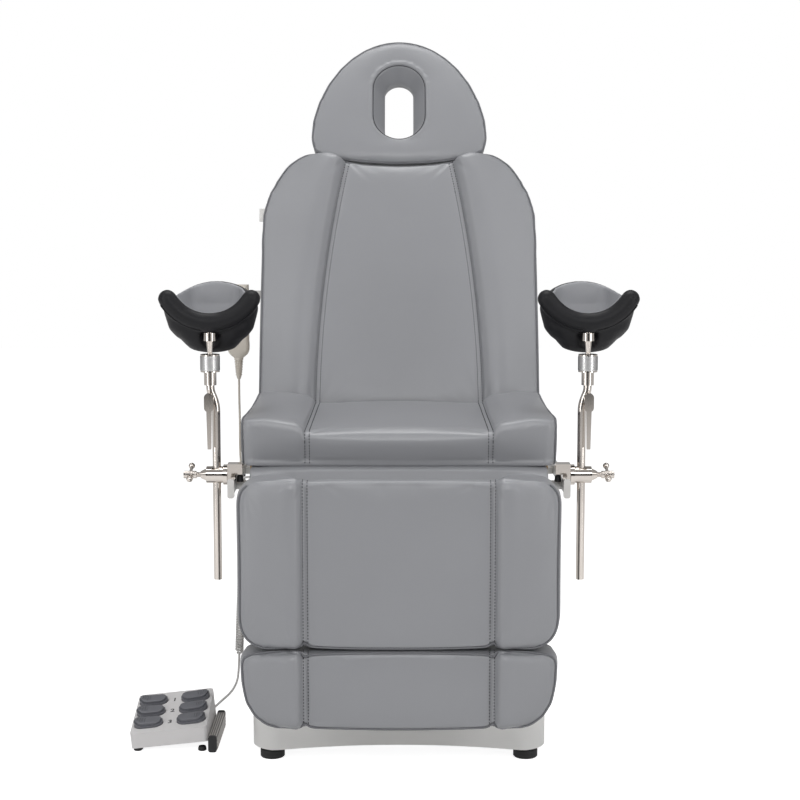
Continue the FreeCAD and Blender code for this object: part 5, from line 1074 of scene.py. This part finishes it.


# The bar's body is dark grey, so the gaps between the aluminium ribs read as shaded grooves: painted shade.
nodes["footswitch_bar"].data.materials[0] = groove_painted_shade_grey
second_finish("footswitch_bar", (1, 2), black_plastic)
second_finish("handset", (1,), pale_grey_plastic)
for side in ("left", "right"):
    nodes[side + "_rail_clamp"].data.materials[0] = chrome
    second_finish(side + "_rail_clamp", (1,), black_plastic)
shape = bmesh.new()
for count in range(4):
    x, z = -378.0 + 4.3 * count, 3.4 + 6.6 * count
    slab(shape, mm(x, -303.4, 29.4), mm(x + 2.6, -140.6, 31.2), 0.0004)
    slab(shape, mm(-362.2, -303.4, z), mm(-360.4, -140.6, z + 3.4), 0.0004)
finished("footswitch_bar_ribs", shape, aluminium, "base")
shape = bmesh.new()
for x in (-520, -392):
    turned(shape, [(0.0, 0.0), (0.0072, 0.0), (0.0085, 0.0012), (0.0082, 0.0052), (0.0070, 0.0088), (0.0, 0.0088)],
           mm(x, -295, 0), Vector((0, 0, 1)), 28)
finished("footswitch_feet", shape, black_rubber, "base")
board = nodes["headrest_board"].data
board.materials.append(cover_grey)
for face in board.polygons:
    spot = leaning @ face.center
    if abs(spot.x) < 0.045 and 0.64 < spot.y < 0.83:
        face.material_index = 1
print("second finishes, ribs and feet")

# %% [markdown]
# The handset hangs behind the left leg holder. Below its case are soft shoulders and a ringed relief
# that saves the lead from sharp bends; on its face are plain round keys.
# The shoulders are rings of points that change from a rounded square to a circle, joined by faces.

# %% Handset
def rounded_ring(shape, middle, half_x, half_y, power):
    ring = []
    for step in range(40):
        angle = 2 * math.pi * step / 40
        across, deep = math.cos(angle), math.sin(angle)
        reach = (abs(across) ** power + abs(deep) ** power) ** (-1 / power)
        ring.append(shape.verts.new(middle + Vector((half_x * across * reach, half_y * deep * reach, 0))))
    return ring


def lofted(shape, rings):
    for low, high in zip(rings, rings[1:]):
        for i in range(len(low)):
            shape.faces.new((low[i - 1], low[i], high[i], high[i - 1]))
    shape.faces.new(rings[0][::-1])
    shape.faces.new(rings[-1])


shape = bmesh.new()
lofted(shape, [rounded_ring(shape, mm(-362, 249, z), half_x / 1000, half_y / 1000, power)
               for z, half_x, half_y, power in (
                   (735, 10.6, 10.2, 2.0), (737, 12.6, 10.8, 2.1), (740, 16.4, 11.6, 2.4), (744, 20.4, 12.2, 2.8),
                   (749, 23.2, 12.7, 3.4), (755, 24.4, 12.9, 4.0), (764, 24.6, 12.9, 4.4), (772, 24.3, 12.6, 4.4))])
finished("handset_shoulders", shape, cream_plastic, "backrest", sharp=60)
shape = bmesh.new()
rings = [(0.0096, 0.0)]
for count in range(7):
    along = 0.0025 + 0.0058 * count
    radius = 0.0046 + (0.0475 - along) / 0.064 * 0.0054
    rings += [(radius + 0.0019, along), (radius + 0.0019, along + 0.0028), (radius + 0.0001, along + 0.0032),
              (radius + 0.0001, along + 0.0054)]
turned(shape, rings + [(0.0049, 0.0455), (0.0033, 0.0478)], mm(-362, 249, 735.5), Vector((0, 0, -1)), 32)
finished("handset_relief_rings", shape, cream_plastic, "backrest")
shape = bmesh.new()
for column in (-8, 8):
    for row in range(4):
        turned(shape, [(0.0050, 0.0), (0.0050, 0.0008), (0.0043, 0.0014), (0.0, 0.0016)],
               mm(-362 + column, 234.9, 803 + 20 * row), Vector((0, -1, 0)), 24)
finished("handset_keys", shape, pedal_grey, "backrest")
print("handset dressed")

# %% [markdown]
# A woven tag is sewn into the backrest's left welt. It is a short ribbon folded on itself, and it carries nothing.

# %% Blank tag
shape = bmesh.new()
fold = [(-302.5, 13.4), (-308.5, 13.2), (-313.6, 13.4), (-314.9, 13.9), (-315.2, 14.4), (-314.9, 14.9),
        (-313.6, 15.3), (-308.5, 15.6), (-302.5, 15.4)]
rows = []
for step in range(9):
    along = 470 + 30 * step / 8
    wave = 0.5 * math.sin(math.pi * step / 4)
    rows.append([shape.verts.new(mm(x, along, up + wave * (-x - 302.5) / 12)) for x, up in fold])
for low, high in zip(rows, rows[1:]):
    for i in range(len(fold) - 1):
        shape.faces.new((low[i], low[i + 1], high[i + 1], high[i]))
shape.transform(leaning.inverted())
tag_white = coated_cloth("tag_white", linear(236, 235, 232), 0.60, 2200.0)
finished("blank_tag", shape, tag_white, "backrest", sharp=80)
print("tag left bare")
